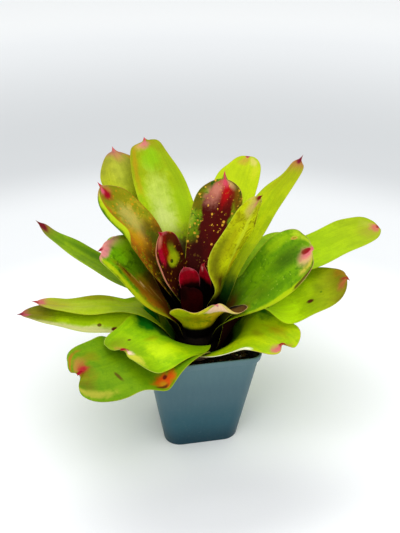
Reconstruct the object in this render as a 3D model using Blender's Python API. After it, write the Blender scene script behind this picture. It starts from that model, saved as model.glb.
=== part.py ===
"""A tank bromeliad in a square nursery pot, built at real size in metres, +Z up.

The pot stands on z = 0 with its middle on the Z axis and its sides along X and Y. The plant
is a rosette: a short stem like a pineapple's core, with broad leaves set round it one inside
the next, the oldest lowest and outermost. Their bases clasp the stem and form the cup that
holds the plant's water. Every leaf is an object of its own.
"""

import math
from dataclasses import dataclass

import bmesh
import bpy
import numpy as np

MM = 0.001  # the sizes below are in millimetres

# ---- Driving dimensions -------------------------------------------------------------------
POT_HEIGHT = 88.0
POT_TOP = 90.0  # outside width over the rim
POT_FOOT = 60.0  # outside width at the floor
POT_WALL = 1.2
RIM_HEIGHT = 6.0  # the rim is a band that stands out from the wall
RIM_STEP = 1.3
TOP_CORNER = 9.0  # corner radii of the square outline
FOOT_CORNER = 13.0
CORNER_STEPS = 4
EDGE = 1.2  # the small slope on the pot's edges and under its rim
SHARP_ANGLE = 40.0  # edges that turn by more degrees than this are shaded sharp
FLOOR = 1.6
DRAIN_RADIUS = 4.5
DRAIN_DISTANCE = 24.0  # from the middle of the floor, on its diagonals

SOIL_TOP = 74.0
GAP = 0.35  # clearance between pieces that touch

STEM_BOTTOM = SOIL_TOP + GAP
STEM_FOOT_RADIUS = 22.0
STEM_TIP_RADIUS = 3.0
STEM_HEIGHT = 25.0
LEAF_BAND = 22.0  # height of the part of the stem that leaves grow from
OUTER_SHEATH = 46.0  # slope of the oldest leaf's sheath, degrees
INNER_SHEATH = 84.0  # slope of the youngest leaf's
LEAF_STANDOFF = 1.6  # from the stem's skin to the middle of a leaf's thickness
ROOT_RADIUS = 8.0
ROOT_DEPTH = 22.0

LEAF_THICKNESS = 0.8
ROUND_SIDES = 24
LEAF_ROWS = 12  # steps from the base to the tip
LEAF_COLUMNS = 6  # steps from margin to margin
TIP_CROWDING = 1.35  # over 1, the rows stand closer together toward the tip

# Colour and roughness: the old outer leaves are green, the young ones at the heart are red.
LEAF_FINISHES = {
    "outer": ((0.270, 0.430, 0.030), 0.45),
    "middle": ((0.300, 0.450, 0.035), 0.42),
    "inner": ((0.190, 0.260, 0.035), 0.38),
    "heart": ((0.180, 0.020, 0.025), 0.35),
}


# ---- The leaves, oldest and outermost first ------------------------------------------------
@dataclass
class Leaf:
    name: str
    bearing: float  # direction, degrees anticlockwise from +X seen from above
    length: float  # along the midrib, mm
    width: float  # across the blade at its widest, mm
    rise: tuple  # slope of the midrib where the blade begins and at the tip, degrees
    roll: float = 0.0  # how far the blade leans to its right about its midrib, degrees
    channel: float = 20.0  # half the angle of the blade's gutter, degrees
    clasp: float = 50.0  # half the angle that the base wraps round the stem, degrees
    taper: float = 0.74  # share of the length at which the blade starts to narrow
    sheath: float = 28.0  # length of the upright sheath, mm
    twist: float = 0.0  # how far the sheath is turned round the stem from the blade, degrees


LEAVES = [
    Leaf("outer_leaf_1", 208, 98, 68, (1, -22), roll=-22, channel=8, clasp=66, twist=6, sheath=29),
    Leaf("outer_leaf_2", 62, 120, 48, (24, -6), clasp=42),
    Leaf("outer_leaf_3", 316, 70, 50, (34, -24), roll=4, channel=14, clasp=62, sheath=26),
    Leaf("outer_leaf_4", 110, 124, 48, (24, -4), clasp=44),
    Leaf("outer_leaf_5", 213, 72, 61, (17, -12), roll=-8, channel=7, clasp=56, twist=16, sheath=28),
    Leaf("outer_leaf_6", 352, 116, 48, (22, 12), roll=10, channel=14, clasp=48),
    Leaf("outer_leaf_7", 168, 134, 35, (5, -5), roll=0, channel=20, clasp=36, taper=0.4, sheath=30),
    Leaf("outer_leaf_8", 36, 126, 44, (22, 0), clasp=42),
    Leaf("middle_leaf_1", 165, 126, 32, (3, 1), roll=4, channel=20, clasp=38, taper=0.4, sheath=30),
    Leaf("middle_leaf_2", 12, 168, 42, (27, 8), roll=6, clasp=42),
    Leaf("middle_leaf_3", 94, 130, 44, (30, 12), clasp=36),
    Leaf("middle_leaf_4", 348, 107, 50, (50, 38), roll=34, channel=16, clasp=54),
    Leaf("middle_leaf_5", 152, 148, 34, (22, 30), roll=-8, channel=30, clasp=46, taper=0.45),
    Leaf("middle_leaf_6", 61, 170, 40, (43, 18), clasp=42),
    Leaf("middle_leaf_7", 171, 96, 44, (42, 42), roll=-30, channel=16, clasp=48, sheath=24),
    Leaf("middle_leaf_8", 30, 160, 30, (53, 39), channel=26, clasp=44, taper=0.5),
    Leaf("inner_leaf_1", 120, 157, 48, (54, 50), channel=24, clasp=44),
    Leaf("inner_leaf_2", 277, 56, 58, (58, 36), channel=24, clasp=60, taper=0.6, sheath=18),
    Leaf("inner_leaf_3", 105, 156, 46, (61, 47), clasp=44),
    Leaf("inner_leaf_4", 323, 131, 40, (82, 62), roll=-44, channel=26, clasp=40, taper=0.5),
    Leaf("inner_leaf_5", 149, 135, 46, (60, 44), channel=24, clasp=44),
    Leaf("heart_leaf_1", 241, 46, 20, (88, 74), channel=40, clasp=38, sheath=14),
    Leaf("inner_leaf_6", 55, 121, 42, (70, 51), channel=22, clasp=38, sheath=24),
    Leaf("heart_leaf_2", 149, 80, 32, (70, 62), roll=-34, channel=28, clasp=40, sheath=20),
    Leaf("heart_leaf_3", 35, 48, 20, (83, 71), channel=36, clasp=36, sheath=12),
    Leaf("heart_leaf_4", 124, 40, 17, (84, 80), channel=40, clasp=36, sheath=12),
]


# ---- The form of a leaf --------------------------------------------------------------------
def ease(low, high, at):
    """0 up to low, 1 from high on, and a smooth step between them."""
    t = np.clip((np.asarray(at, float) - low) / (high - low), 0.0, 1.0)
    return t * t * (3.0 - 2.0 * t)


def leaf_start(order):
    """Distance from the axis and height of the foot of a leaf: they climb the stem in turn."""
    height = SOIL_TOP + 1.0 + LEAF_BAND * order / (len(LEAVES) - 1)
    up_stem = (height - STEM_BOTTOM) / STEM_HEIGHT
    stem_radius = STEM_FOOT_RADIUS + (STEM_TIP_RADIUS - STEM_FOOT_RADIUS) * up_stem
    return stem_radius + LEAF_STANDOFF, height


def leaf_surface(order, s, v):
    """Points on the middle surface of a leaf, mm: s runs 0 to 1 from the base to the tip,
    and v runs -1 to 1 from its right margin to its left one."""
    leaf = LEAVES[order]
    sheath = leaf.sheath
    sheath_slope = OUTER_SHEATH + (INNER_SHEATH - OUTER_SHEATH) * order / (len(LEAVES) - 1)
    start_radius, start_height = leaf_start(order)
    heading = math.radians(leaf.bearing)
    outward = np.array([math.cos(heading), math.sin(heading), 0.0])
    upward = np.array([0.0, 0.0, 1.0])

    # The midrib: steep along the sheath, then from the blade's low slope to its tip slope.
    line = np.linspace(0.0, 1.0, 201)
    blade_share = np.clip((line * leaf.length - sheath) / (leaf.length - sheath), 0.0, 1.0)
    blade_slope = leaf.rise[0] + (leaf.rise[1] - leaf.rise[0]) * blade_share
    bending = ease(0.5 * sheath, 1.7 * sheath, line * leaf.length)
    slope = np.radians(sheath_slope + (blade_slope - sheath_slope) * bending)[:, None]
    along = np.cos(slope) * outward + np.sin(slope) * upward
    steps = (along[1:] + along[:-1]) / 2 * leaf.length / (len(line) - 1)
    start = outward * start_radius + upward * start_height
    midrib = start + np.vstack([np.zeros(3), np.cumsum(steps, axis=0)])

    s, v = np.broadcast_arrays(np.asarray(s, float), np.asarray(v, float))
    point, direction = (
        np.stack([np.interp(s, line, track[:, axis]) for axis in range(3)], axis=-1)
        for track in (midrib, along)
    )

    # The sheath bends round the stem's own axis, the blade round its midrib.
    distance = s * leaf.length
    opening = ease(0.7 * sheath, 1.8 * sheath, distance)
    across = np.broadcast_to(np.cross(upward, outward), point.shape)
    upper = np.cross(direction, across) * opening[..., None]
    upper = upper - outward * (1.0 - opening[..., None])
    upper = upper / np.linalg.norm(upper, axis=-1, keepdims=True)
    lean = np.radians(leaf.roll) * ease(0.25, 0.9, s)[..., None]
    across, upper = (
        across * np.cos(lean) + upper * np.sin(lean),
        upper * np.cos(lean) - across * np.sin(lean),
    )

    half_angle = np.radians(leaf.clasp + (leaf.channel - leaf.clasp) * opening)
    sheath_width = 2 * math.radians(leaf.clasp) * np.hypot(point[..., 0], point[..., 1])
    blade_width = leaf.width * (0.80 + 0.20 * ease(0.25, 0.62, s))
    full_width = sheath_width + (blade_width - sheath_width) * opening
    narrowing = np.clip((s - leaf.taper) / (1 - leaf.taper), 0, 1)
    full_width = full_width * np.sqrt(1.0 - 0.98 * narrowing**2.4)
    bend_radius = full_width / (2 * half_angle)
    angle = v * half_angle + math.radians(leaf.twist) * (1.0 - opening)
    return (
        point
        + across * (bend_radius * np.sin(angle))[..., None]
        + upper * (bend_radius * (1 - np.cos(angle)))[..., None]
    )


# ---- Making the objects --------------------------------------------------------------------
def clear_scene():
    for old in list(bpy.context.scene.objects):
        bpy.data.objects.remove(old, do_unlink=True)


def material(name, colour, roughness):
    made = bpy.data.materials.new(name)
    made.use_nodes = True
    shader = made.node_tree.nodes["Principled BSDF"]
    shader.inputs["Base Color"].default_value = (*colour, 1.0)
    shader.inputs["Roughness"].default_value = roughness
    shader.inputs["Metallic"].default_value = 0.0
    return made


def add_object(name, points, faces, finish):
    """A mesh object from points in millimetres and faces that list their corners."""
    mesh = bpy.data.meshes.new(name)
    mesh.from_pydata([tuple(point) for point in np.asarray(points) * MM], [], faces)
    shape = bmesh.new()
    shape.from_mesh(mesh)
    bmesh.ops.recalc_face_normals(shape, faces=shape.faces)
    shape.to_mesh(mesh)
    shape.free()
    mesh.shade_smooth()
    mesh.set_sharp_from_angle(angle=math.radians(SHARP_ANGLE))
    mesh.materials.append(finish)
    made = bpy.data.objects.new(name, mesh)
    bpy.context.collection.objects.link(made)
    return made


def loft(name, rings, finish):
    """A closed body through rings of points that all have the same count, end to end."""
    count = len(rings[0])
    points = np.concatenate(rings)
    faces = [tuple(range(count))]
    for ring in range(len(rings) - 1):
        low, high = ring * count, (ring + 1) * count
        for here in range(count):
            after = (here + 1) % count
            faces.append((low + here, low + after, high + after, high + here))
    faces.append(tuple(range(len(points) - count, len(points))))
    return add_object(name, points, faces, finish)


def rounded_square(half, corner, height):
    """One ring of points round a square with rounded corners, at one height."""
    ring = []
    for quarter in range(4):
        turn = math.radians(90 * quarter)
        centre_x = (half - corner) * (math.cos(turn) - math.sin(turn))
        centre_y = (half - corner) * (math.sin(turn) + math.cos(turn))
        for step in range(CORNER_STEPS + 1):
            angle = turn + math.radians(90 * step / CORNER_STEPS)
            x = centre_x + corner * math.cos(angle)
            y = centre_y + corner * math.sin(angle)
            ring.append((x, y, height))
    return np.array(ring)


def circle(radius, height):
    angles = np.radians(np.arange(ROUND_SIDES) * 360 / ROUND_SIDES)
    heights = np.full(ROUND_SIDES, height)
    return np.column_stack([radius * np.cos(angles), radius * np.sin(angles), heights])


def wall_half(height):
    """Half the outside width of the pot's plain wall at a height."""
    top_half = POT_TOP / 2 - RIM_STEP
    return POT_FOOT / 2 + (top_half - POT_FOOT / 2) * height / POT_HEIGHT


def wall_corner(height):
    return FOOT_CORNER + (TOP_CORNER - FOOT_CORNER) * height / POT_HEIGHT


def pot_ring(height, outward=0.0):
    """A ring on the plain wall's outside at a height, or set outward from it."""
    half = wall_half(height) + outward
    return rounded_square(half, wall_corner(height) + outward, height)


def cut(body, cutter):
    """Subtract the cutter from the body, keeping it as a live Boolean."""
    cutter.hide_render = True
    cutter.display_type = "WIRE"
    boolean = body.modifiers.new("Cut", "BOOLEAN")
    boolean.operation = "DIFFERENCE"
    boolean.solver = "EXACT"
    boolean.object = cutter


def make_pot(finish):
    rim_foot = POT_HEIGHT - RIM_HEIGHT
    outside = [
        pot_ring(0.0, -EDGE),
        pot_ring(EDGE),
        pot_ring(rim_foot),
        pot_ring(rim_foot + EDGE, RIM_STEP),
        pot_ring(POT_HEIGHT - EDGE / 2, RIM_STEP),
        pot_ring(POT_HEIGHT, RIM_STEP - EDGE / 2),
    ]
    inside = [
        pot_ring(POT_HEIGHT, RIM_STEP - POT_WALL),
        pot_ring(rim_foot + EDGE, RIM_STEP - POT_WALL),
        pot_ring(rim_foot - EDGE, -POT_WALL),
        pot_ring(FLOOR, -POT_WALL),
    ]
    pot = loft("pot", outside + inside, finish)
    for index in range(4):
        turn = math.radians(45 + 90 * index)
        at_drain = DRAIN_DISTANCE * np.array([math.cos(turn), math.sin(turn), 0.0])
        rings = [circle(DRAIN_RADIUS, height) + at_drain for height in (-1.0, FLOOR + 1.0)]
        cut(pot, loft(f"drain_cutter_{index + 1}", rings, finish))


def make_soil(finish):
    inset = -(POT_WALL + GAP)
    bottom = FLOOR + GAP
    body = [pot_ring(bottom, inset), pot_ring(SOIL_TOP, inset)]
    soil = loft("soil", body, finish)
    well_radius = ROOT_RADIUS + GAP
    well = [circle(well_radius, SOIL_TOP - ROOT_DEPTH - GAP), circle(well_radius, SOIL_TOP + 1.0)]
    cut(soil, loft("root_well_cutter", well, finish))


def make_stem(finish):
    rings = [
        circle(ROOT_RADIUS, SOIL_TOP - ROOT_DEPTH),
        circle(ROOT_RADIUS, STEM_BOTTOM),
        circle(STEM_FOOT_RADIUS, STEM_BOTTOM),
        circle(STEM_TIP_RADIUS, STEM_BOTTOM + STEM_HEIGHT),
    ]
    loft("stem", rings, finish)


def make_leaf(order, finish):
    steps = np.arange(LEAF_ROWS + 1) / LEAF_ROWS
    along = 1.0 - (1.0 - steps) ** TIP_CROWDING
    across = np.linspace(-1.0, 1.0, LEAF_COLUMNS + 1)
    points = leaf_surface(order, along[:, None], across[None, :]).reshape(-1, 3)
    columns = LEAF_COLUMNS + 1
    faces = []
    for row in range(LEAF_ROWS):
        for column in range(LEAF_COLUMNS):
            corner = row * columns + column
            faces.append((corner, corner + 1, corner + columns + 1, corner + columns))
    leaf = add_object(LEAVES[order].name, points, faces, finish)
    skin = leaf.modifiers.new("Thickness", "SOLIDIFY")
    skin.thickness = LEAF_THICKNESS * MM
    skin.offset = 0.0
    skin.use_even_offset = False
    skin.use_rim = True


clear_scene()
make_pot(material("pot_plastic", (0.075, 0.150, 0.185), 0.42))
make_soil(material("potting_mix", (0.030, 0.020, 0.014), 0.95))
make_stem(material("stem_tissue", (0.330, 0.300, 0.160), 0.70))
for leaf_order, grown in enumerate(LEAVES):
    colour, sheen = LEAF_FINISHES[grown.name.split("_leaf")[0]]
    make_leaf(leaf_order, material(grown.name + "_skin", colour, sheen))
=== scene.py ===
# %% [markdown]
# A potted bromeliad.
# The plant is a rosette: 26 broad strap leaves grow one above the other from a short stem, and their
# bases wrap round each other into a cup. It stands in a small square nursery pot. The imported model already
# holds the true sizes and places, so it is loaded first and every finer piece is made to its measures.

# %% Load the measured model
import math
from dataclasses import dataclass

import bmesh
import bpy
import numpy as np
from mathutils import Matrix, Vector, noise


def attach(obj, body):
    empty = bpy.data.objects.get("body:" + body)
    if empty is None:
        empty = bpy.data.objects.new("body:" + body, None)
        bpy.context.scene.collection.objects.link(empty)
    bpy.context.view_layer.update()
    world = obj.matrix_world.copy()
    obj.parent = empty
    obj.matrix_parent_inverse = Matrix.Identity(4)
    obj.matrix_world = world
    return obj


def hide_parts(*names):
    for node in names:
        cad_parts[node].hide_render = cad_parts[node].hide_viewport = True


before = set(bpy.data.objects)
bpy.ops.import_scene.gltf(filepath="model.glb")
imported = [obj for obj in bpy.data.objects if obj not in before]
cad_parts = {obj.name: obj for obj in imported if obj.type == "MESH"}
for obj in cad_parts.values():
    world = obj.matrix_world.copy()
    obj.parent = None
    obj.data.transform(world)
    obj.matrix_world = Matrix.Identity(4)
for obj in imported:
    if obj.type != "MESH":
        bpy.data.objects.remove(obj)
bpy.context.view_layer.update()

# %% [markdown]
# The camera.
# It looks down on the rosette at 29 degrees, from a little to the left of the pot's front. A long lens is used
# because it keeps the near leaves from swelling. A Track To constraint could aim it, but three axes written into
# its matrix leave nothing to solve.

# %% Camera
CAMERA_TURN = math.radians(-11.0)
CAMERA_RISE = math.radians(29.0)
CAMERA_DISTANCE = 0.691
CAMERA_LENS = 60.79
SENSOR_WIDTH = 36.0
AIM_RIGHT = 0.003
AIM_HEIGHT = 0.148

away = Vector((math.sin(CAMERA_TURN) * math.cos(CAMERA_RISE),
               -math.cos(CAMERA_TURN) * math.cos(CAMERA_RISE),
               math.sin(CAMERA_RISE)))
rightward = Vector((math.cos(CAMERA_TURN), math.sin(CAMERA_TURN), 0.0))
upward = away.cross(rightward)
look_at = rightward * AIM_RIGHT + Vector((0.0, 0.0, AIM_HEIGHT))

bpy.ops.object.select_all(action="DESELECT")
bpy.ops.object.camera_add()
camera = bpy.context.object
camera.matrix_world = (Matrix.Translation(look_at + away * CAMERA_DISTANCE)
                       @ Matrix((rightward, upward, away)).transposed().to_4x4())
camera.data.lens = CAMERA_LENS
camera.data.sensor_width = SENSOR_WIDTH
camera.data.clip_start = 0.01
bpy.context.scene.camera = camera
print("camera at", [round(value, 3) for value in camera.location])

# %% [markdown]
# Shader sums.
# A finish is a tree of nodes. Written out node by node it can't be read, so a socket is wrapped in a small class
# that turns + - * / into Math nodes, and one method makes every other node.

# %% Sums on sockets
class Wire:
    """An output socket that can stand in a sum."""

    def __init__(self, finish, socket):
        self.finish = finish
        self.socket = socket

    def sum(self, operation, first, second):
        node = self.finish.node("ShaderNodeMath", {"operation": operation}, {0: first, 1: second})
        return node["Value"]

    def __add__(self, other):
        return self.sum("ADD", self, other)

    __radd__ = __add__

    def __sub__(self, other):
        return self.sum("SUBTRACT", self, other)

    def __rsub__(self, other):
        return self.sum("SUBTRACT", other, self)

    def __mul__(self, other):
        return self.sum("MULTIPLY", self, other)

    __rmul__ = __mul__

    def __truediv__(self, other):
        return self.sum("DIVIDE", self, other)

    def __rtruediv__(self, other):
        return self.sum("DIVIDE", other, self)

    def __pow__(self, other):
        return self.sum("POWER", self, other)

    def __abs__(self):
        return self.sum("ABSOLUTE", self, 0.0)

    def ease(self, low, high):
        """0 at low, 1 at high, and a smooth step between; low may be above high."""
        node = self.finish.node(
            "ShaderNodeMapRange", {"interpolation_type": "SMOOTHSTEP"},
            {"Value": self, "From Min": low, "From Max": high, "To Min": 0.0, "To Max": 1.0})
        return node["Result"]


# %% [markdown]
# Making nodes.
# Nodes could be placed and joined by hand in the Shader Editor. Here one method makes any node from its type, its
# settings and its sockets, and the few kinds that every finish needs get a short name of their own.

# %% Finishes made by calls
class Finish:
    """A material whose nodes are made by calls."""

    def __init__(self, name):
        self.material = bpy.data.materials.new(name)
        self.material.use_nodes = True
        self.tree = self.material.node_tree
        self.tree.nodes.clear()
        self.place = self.node("ShaderNodeTexCoord")["Object"]

    def node(self, kind, settings=None, sockets=None):
        """One node: its settings first, then the values or links of its sockets."""
        node = self.tree.nodes.new(kind)
        for key, value in (settings or {}).items():
            setattr(node, key, value)
        for key, value in (sockets or {}).items():
            socket = node.inputs[key]
            if isinstance(value, Wire):
                self.tree.links.new(value.socket, socket)
            else:
                socket.default_value = value
        return {socket.name: Wire(self, socket) for socket in node.outputs if socket.enabled}

    def mix(self, share, first, second):
        """The first colour where share is 0, and the second where it is 1."""
        node = self.node("ShaderNodeMix", {"data_type": "RGBA"}, {0: share, 6: first, 7: second})
        return node["Result"]

    def mix_value(self, share, first, second):
        """The same for plain numbers."""
        node = self.node("ShaderNodeMix", {"data_type": "FLOAT"}, {0: share, 2: first, 3: second})
        return node["Result"]

    def scaled(self, colour, factor):
        """A colour made lighter or darker by a factor that changes over the surface."""
        start = colour if isinstance(colour, Wire) else colour[:3]
        node = self.node("ShaderNodeVectorMath", {"operation": "SCALE"}, {0: start, "Scale": factor})
        return node["Vector"]

    def join(self, x, y, z):
        return self.node("ShaderNodeCombineXYZ", None, {0: x, 1: y, 2: z})["Vector"]

    def split(self, vector):
        parts = self.node("ShaderNodeSeparateXYZ", None, {0: vector})
        return parts["X"], parts["Y"], parts["Z"]

    def grain(self, size, detail=2.0, at=None, rough=0.5, warp=0.0):
        """Noise from 0 to 1 whose blotches are about size metres across."""
        node = self.node("ShaderNodeTexNoise", {"noise_dimensions": "3D"},
                         {"Vector": at or self.place, "Scale": 0.5 / size, "Detail": detail,
                          "Roughness": rough, "Distortion": warp})
        return node["Fac"]

    def dots(self, size):
        """Distance to the nearest of many scattered centres, in units of size."""
        node = self.node("ShaderNodeTexVoronoi", {"feature": "F1"},
                         {"Vector": self.place, "Scale": 1.0 / size, "Randomness": 1.0})
        return node["Distance"]

    def bump(self, height, depth, onto=None):
        """A normal dented by depth metres where height goes from 1 to 0."""
        sockets = {"Height": height, "Distance": depth, "Strength": 1.0}
        if onto is not None:
            sockets["Normal"] = onto
        return self.node("ShaderNodeBump", None, sockets)["Normal"]

    def surface(self, colour, roughness, normal=None, **fixed):
        """The Principled shader and the output; fixed values are the same all over."""
        sockets = {"Base Color": colour, "Roughness": roughness}
        if normal is not None:
            sockets["Normal"] = normal
        for key, value in fixed.items():
            sockets[key.replace("_", " ").title().replace("Ior", "IOR")] = value
        shader = self.node("ShaderNodeBsdfPrincipled", None, sockets)["BSDF"]
        self.node("ShaderNodeOutputMaterial", None, {"Surface": shader})
        return self.material


def set_material(piece, material):
    piece.data.materials.clear()
    piece.data.materials.append(material)


# %% [markdown]
# Floor and light.
# The plant stands on a plain white sweep under a soft light box, so nearly all its light comes from every side and
# the rendered shadow is a soft dark patch under the leaves. The floor is one wide disc. Painted shade greys it in a
# band round the plant that is darkest some way behind it, as a sweep is where it turns up, and two soft painted
# shadows lie in front of the pot and to its right. A curved sheet could give the band too, but a flat disc with a
# finish that changes with distance needs no fitting.

# %% Floor, light box and sky
FLOOR_RADIUS = 6.0
FLOOR_RINGS = 3

bpy.ops.object.select_all(action="DESELECT")
bpy.ops.mesh.primitive_circle_add(vertices=96, radius=FLOOR_RADIUS, fill_type="NGON")
floor = bpy.context.object
floor.name = "floor"
bpy.ops.object.mode_set(mode="EDIT")
bpy.ops.mesh.select_all(action="SELECT")
for _ in range(FLOOR_RINGS):
    bpy.ops.mesh.inset(thickness=FLOOR_RADIUS / (FLOOR_RINGS + 1))
bpy.ops.object.mode_set(mode="OBJECT")

finish = Finish("white_sweep")
x, y, z = finish.split(finish.place)
distance = (x * x + y * y) ** 0.5
# painted shade: the floor greys in a band round the plant, darkest some way behind it, as a sweep dims where it turns
# up
band = (0.40 * distance.ease(0.28, 0.35) + 0.56 * distance.ease(0.44, 0.60)
        - 0.96 * distance.ease(0.66, 1.34))
paper = finish.mix(band, (0.93, 0.935, 0.945, 1.0), (0.61, 0.62, 0.63, 1.0))
paper = finish.mix(distance.ease(1.20, 1.42), paper, (0.99, 0.99, 0.99, 1.0))
# painted shadows: soft grey patches in front of the pot and to its right
painted_shadow_front = ((0.2 * x * x + (y + 0.105) * (y + 0.105)) ** 0.5).ease(0.080, 0.015)
painted_shadow_right = (((x - 0.13) * (x - 0.13) + y * y) ** 0.5).ease(0.11, 0.02)
paper = finish.mix(painted_shadow_front * 0.92, paper, (0.62, 0.62, 0.64, 1.0))
paper = finish.mix(painted_shadow_right * 0.4, paper, (0.70, 0.71, 0.71, 1.0))
speck = finish.grain(0.0006, 2.0)
paper = finish.scaled(paper, 0.985 + 0.03 * speck)
set_material(floor, finish.surface(paper, 0.75, finish.bump(speck, 0.00005), specular_ior_level=0.2))

sky = bpy.data.worlds.new("studio_sky")
bpy.context.scene.world = sky
sky.use_nodes = True
glow = sky.node_tree.nodes["Background"].inputs
glow["Color"].default_value = (0.965, 0.99, 1.0, 1.0)
glow["Strength"].default_value = 0.86


def light_box(name, place, aim, size, power):
    """A square soft light at a place, turned to face a point."""
    bpy.ops.object.light_add(type="AREA", location=place)
    light = bpy.context.object
    light.name = name
    light.rotation_euler = (Vector(aim) - Vector(place)).to_track_quat("-Z", "Y").to_euler()
    light.data.size = size
    light.data.energy = power


light_box("top_box", (0.1, -0.15, 1.25), (0.0, 0.0, 0.1), 1.1, 7.5)
light_box("front_box", (-0.5, -1.1, 0.9), (0.0, 0.0, 0.12), 0.8, 4.0)
bpy.context.scene.view_settings.view_transform = "Standard"

# %% [markdown]
# The pot.
# Square nursery pots are moulded in one shot from thin plastic: plain walls that lean outward, round corners that
# are wider at the foot, and a rim that stands out so a hand or a tray can hold it. Its measures are in millimetres.
# Its half width and its corner's radius change evenly with height, so each follows a straight-line rule.

# %% Pot measures
MM = 0.001
POT_HEIGHT = 88.0
POT_FOOT_HALF = 30.0    # half the width at the foot
POT_TOP_HALF = 43.7     # half the width at the top, without the rim
POT_WALL = 1.2
POT_FLOOR = 1.6
FOOT_CORNER = 13.0      # radius of the corners at the foot and at the top
TOP_CORNER = 9.0
CORNER_CUTS = 10        # straight pieces in each corner
RIM_FOOT = 82.0         # height where the rim begins
RIM_STEP = 1.3          # how far it stands out
RIM_SLOPE = 0.5         # height of the slants at its foot and at its top
RIM_ROUND = 0.4         # how far its top slant draws in
RIM_INSIDE = 0.9        # where its inner face ends, above its foot
LIP_DROP = 0.01         # fall of its top face, so that each loop has a height of its own
INNER_STEP = 1.0        # where the inner wall ends, below the rim's foot
SAME_HEIGHT = 0.02      # points this close in height belong to one loop
SOFT_EDGE = 0.35
SOFT_ANGLE = 35.0
DRAIN_RADIUS = 4.5
DRAIN_PLACE = 17.0
INSIDE_DEPTH = 0.8      # a point this far behind the outer face is inside


def wall_half(height):
    return POT_FOOT_HALF + (POT_TOP_HALF - POT_FOOT_HALF) * height / POT_HEIGHT


def wall_corner(height):
    return FOOT_CORNER + (TOP_CORNER - FOOT_CORNER) * height / POT_HEIGHT


print("pot:", 2 * (POT_TOP_HALF + RIM_STEP), "mm wide and", POT_HEIGHT, "mm high")

# %% [markdown]
# The pot's walls.
# The walls could be a solid block hollowed by a Boolean, but bridged loops give even rows of faces that bevel
# cleanly. Four rounded squares, each a plane with bevelled corners, are bridged into the outer and inner walls, and
# the rim is extruded from the outer wall's top, over its edge and down the inside.

# %% Pot walls and rim
def add_rounded_square(height, inset):
    """A loop of edges at a height in mm; edit mode, only the loop is left selected."""
    half = wall_half(height) - inset
    bpy.ops.mesh.select_all(action="DESELECT")
    bpy.ops.mesh.primitive_plane_add(size=2 * half * MM, location=(0, 0, height * MM))
    bpy.ops.mesh.bevel(offset=(wall_corner(height) - inset) * MM, segments=CORNER_CUTS, affect="VERTICES")
    bpy.ops.mesh.delete(type="ONLY_FACE")


def select_loops(piece, *heights):
    """Select the points at these heights in mm, in edit mode."""
    bpy.ops.mesh.select_mode(type="VERT")
    bpy.ops.mesh.select_all(action="DESELECT")
    shell = bmesh.from_edit_mesh(piece.data)
    for corner in shell.verts:
        if any(abs(corner.co.z / MM - height) < SAME_HEIGHT for height in heights):
            corner.select = True
    shell.select_flush(True)
    bmesh.update_edit_mesh(piece.data)


def extrude_loop(rise, grow_from, grow_to):
    """Extrude the selected loop upward by rise mm, then scale it sideways."""
    bpy.ops.mesh.extrude_region_move(TRANSFORM_OT_translate={"value": (0, 0, rise * MM)})
    if grow_from != grow_to:
        factor = grow_to / grow_from
        bpy.ops.transform.resize(value=(factor, factor, 1), center_override=(0, 0, 0))


bpy.ops.object.select_all(action="DESELECT")
bpy.ops.mesh.primitive_plane_add(size=0.01)
pot = bpy.context.object
pot.name = "pot_fine"
bpy.ops.object.mode_set(mode="EDIT")
bpy.ops.mesh.select_all(action="SELECT")
bpy.ops.mesh.delete(type="VERT")
add_rounded_square(0.0, 0.0)
add_rounded_square(RIM_FOOT, 0.0)
add_rounded_square(POT_FLOOR, POT_WALL)
add_rounded_square(RIM_FOOT - INNER_STEP, POT_WALL)
for low_loop, high_loop in ((0.0, RIM_FOOT), (POT_FLOOR, RIM_FOOT - INNER_STEP)):
    select_loops(pot, low_loop, high_loop)
    bpy.ops.mesh.bridge_edge_loops()
rim_half = wall_half(RIM_FOOT)
top_half = POT_TOP_HALF + RIM_STEP
rim_profile = [(0.0, rim_half),
               (RIM_SLOPE, rim_half + RIM_STEP),
               (POT_HEIGHT - RIM_FOOT - 2 * RIM_SLOPE, top_half),
               (RIM_SLOPE, top_half - RIM_ROUND),
               (-LIP_DROP, top_half - POT_WALL),
               (RIM_FOOT + RIM_INSIDE - POT_HEIGHT, rim_half + RIM_STEP - POT_WALL)]
select_loops(pot, RIM_FOOT)
for (_, half_before), (rise, half_after) in zip(rim_profile, rim_profile[1:]):
    extrude_loop(rise, half_before, half_after)
select_loops(pot, RIM_FOOT + RIM_INSIDE - LIP_DROP, RIM_FOOT - INNER_STEP)
bpy.ops.mesh.bridge_edge_loops()
for cap in (0.0, POT_FLOOR):
    select_loops(pot, cap)
    bpy.ops.mesh.edge_face_add()
bpy.ops.mesh.select_all(action="SELECT")
bpy.ops.mesh.normals_make_consistent(inside=False)
bpy.ops.object.mode_set(mode="OBJECT")
print("pot walls:", len(pot.data.polygons), "faces")

# %% [markdown]
# Soft edges and drain holes.
# Moulded plastic has no sharp edge, so a Bevel modifier rounds every edge that turns by more than a set angle.
# Water leaves by four round holes. They cross the flat floor only, where a Boolean cuts cleanly, so a cylinder is
# added at each place, taken away from the pot and removed.

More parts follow.
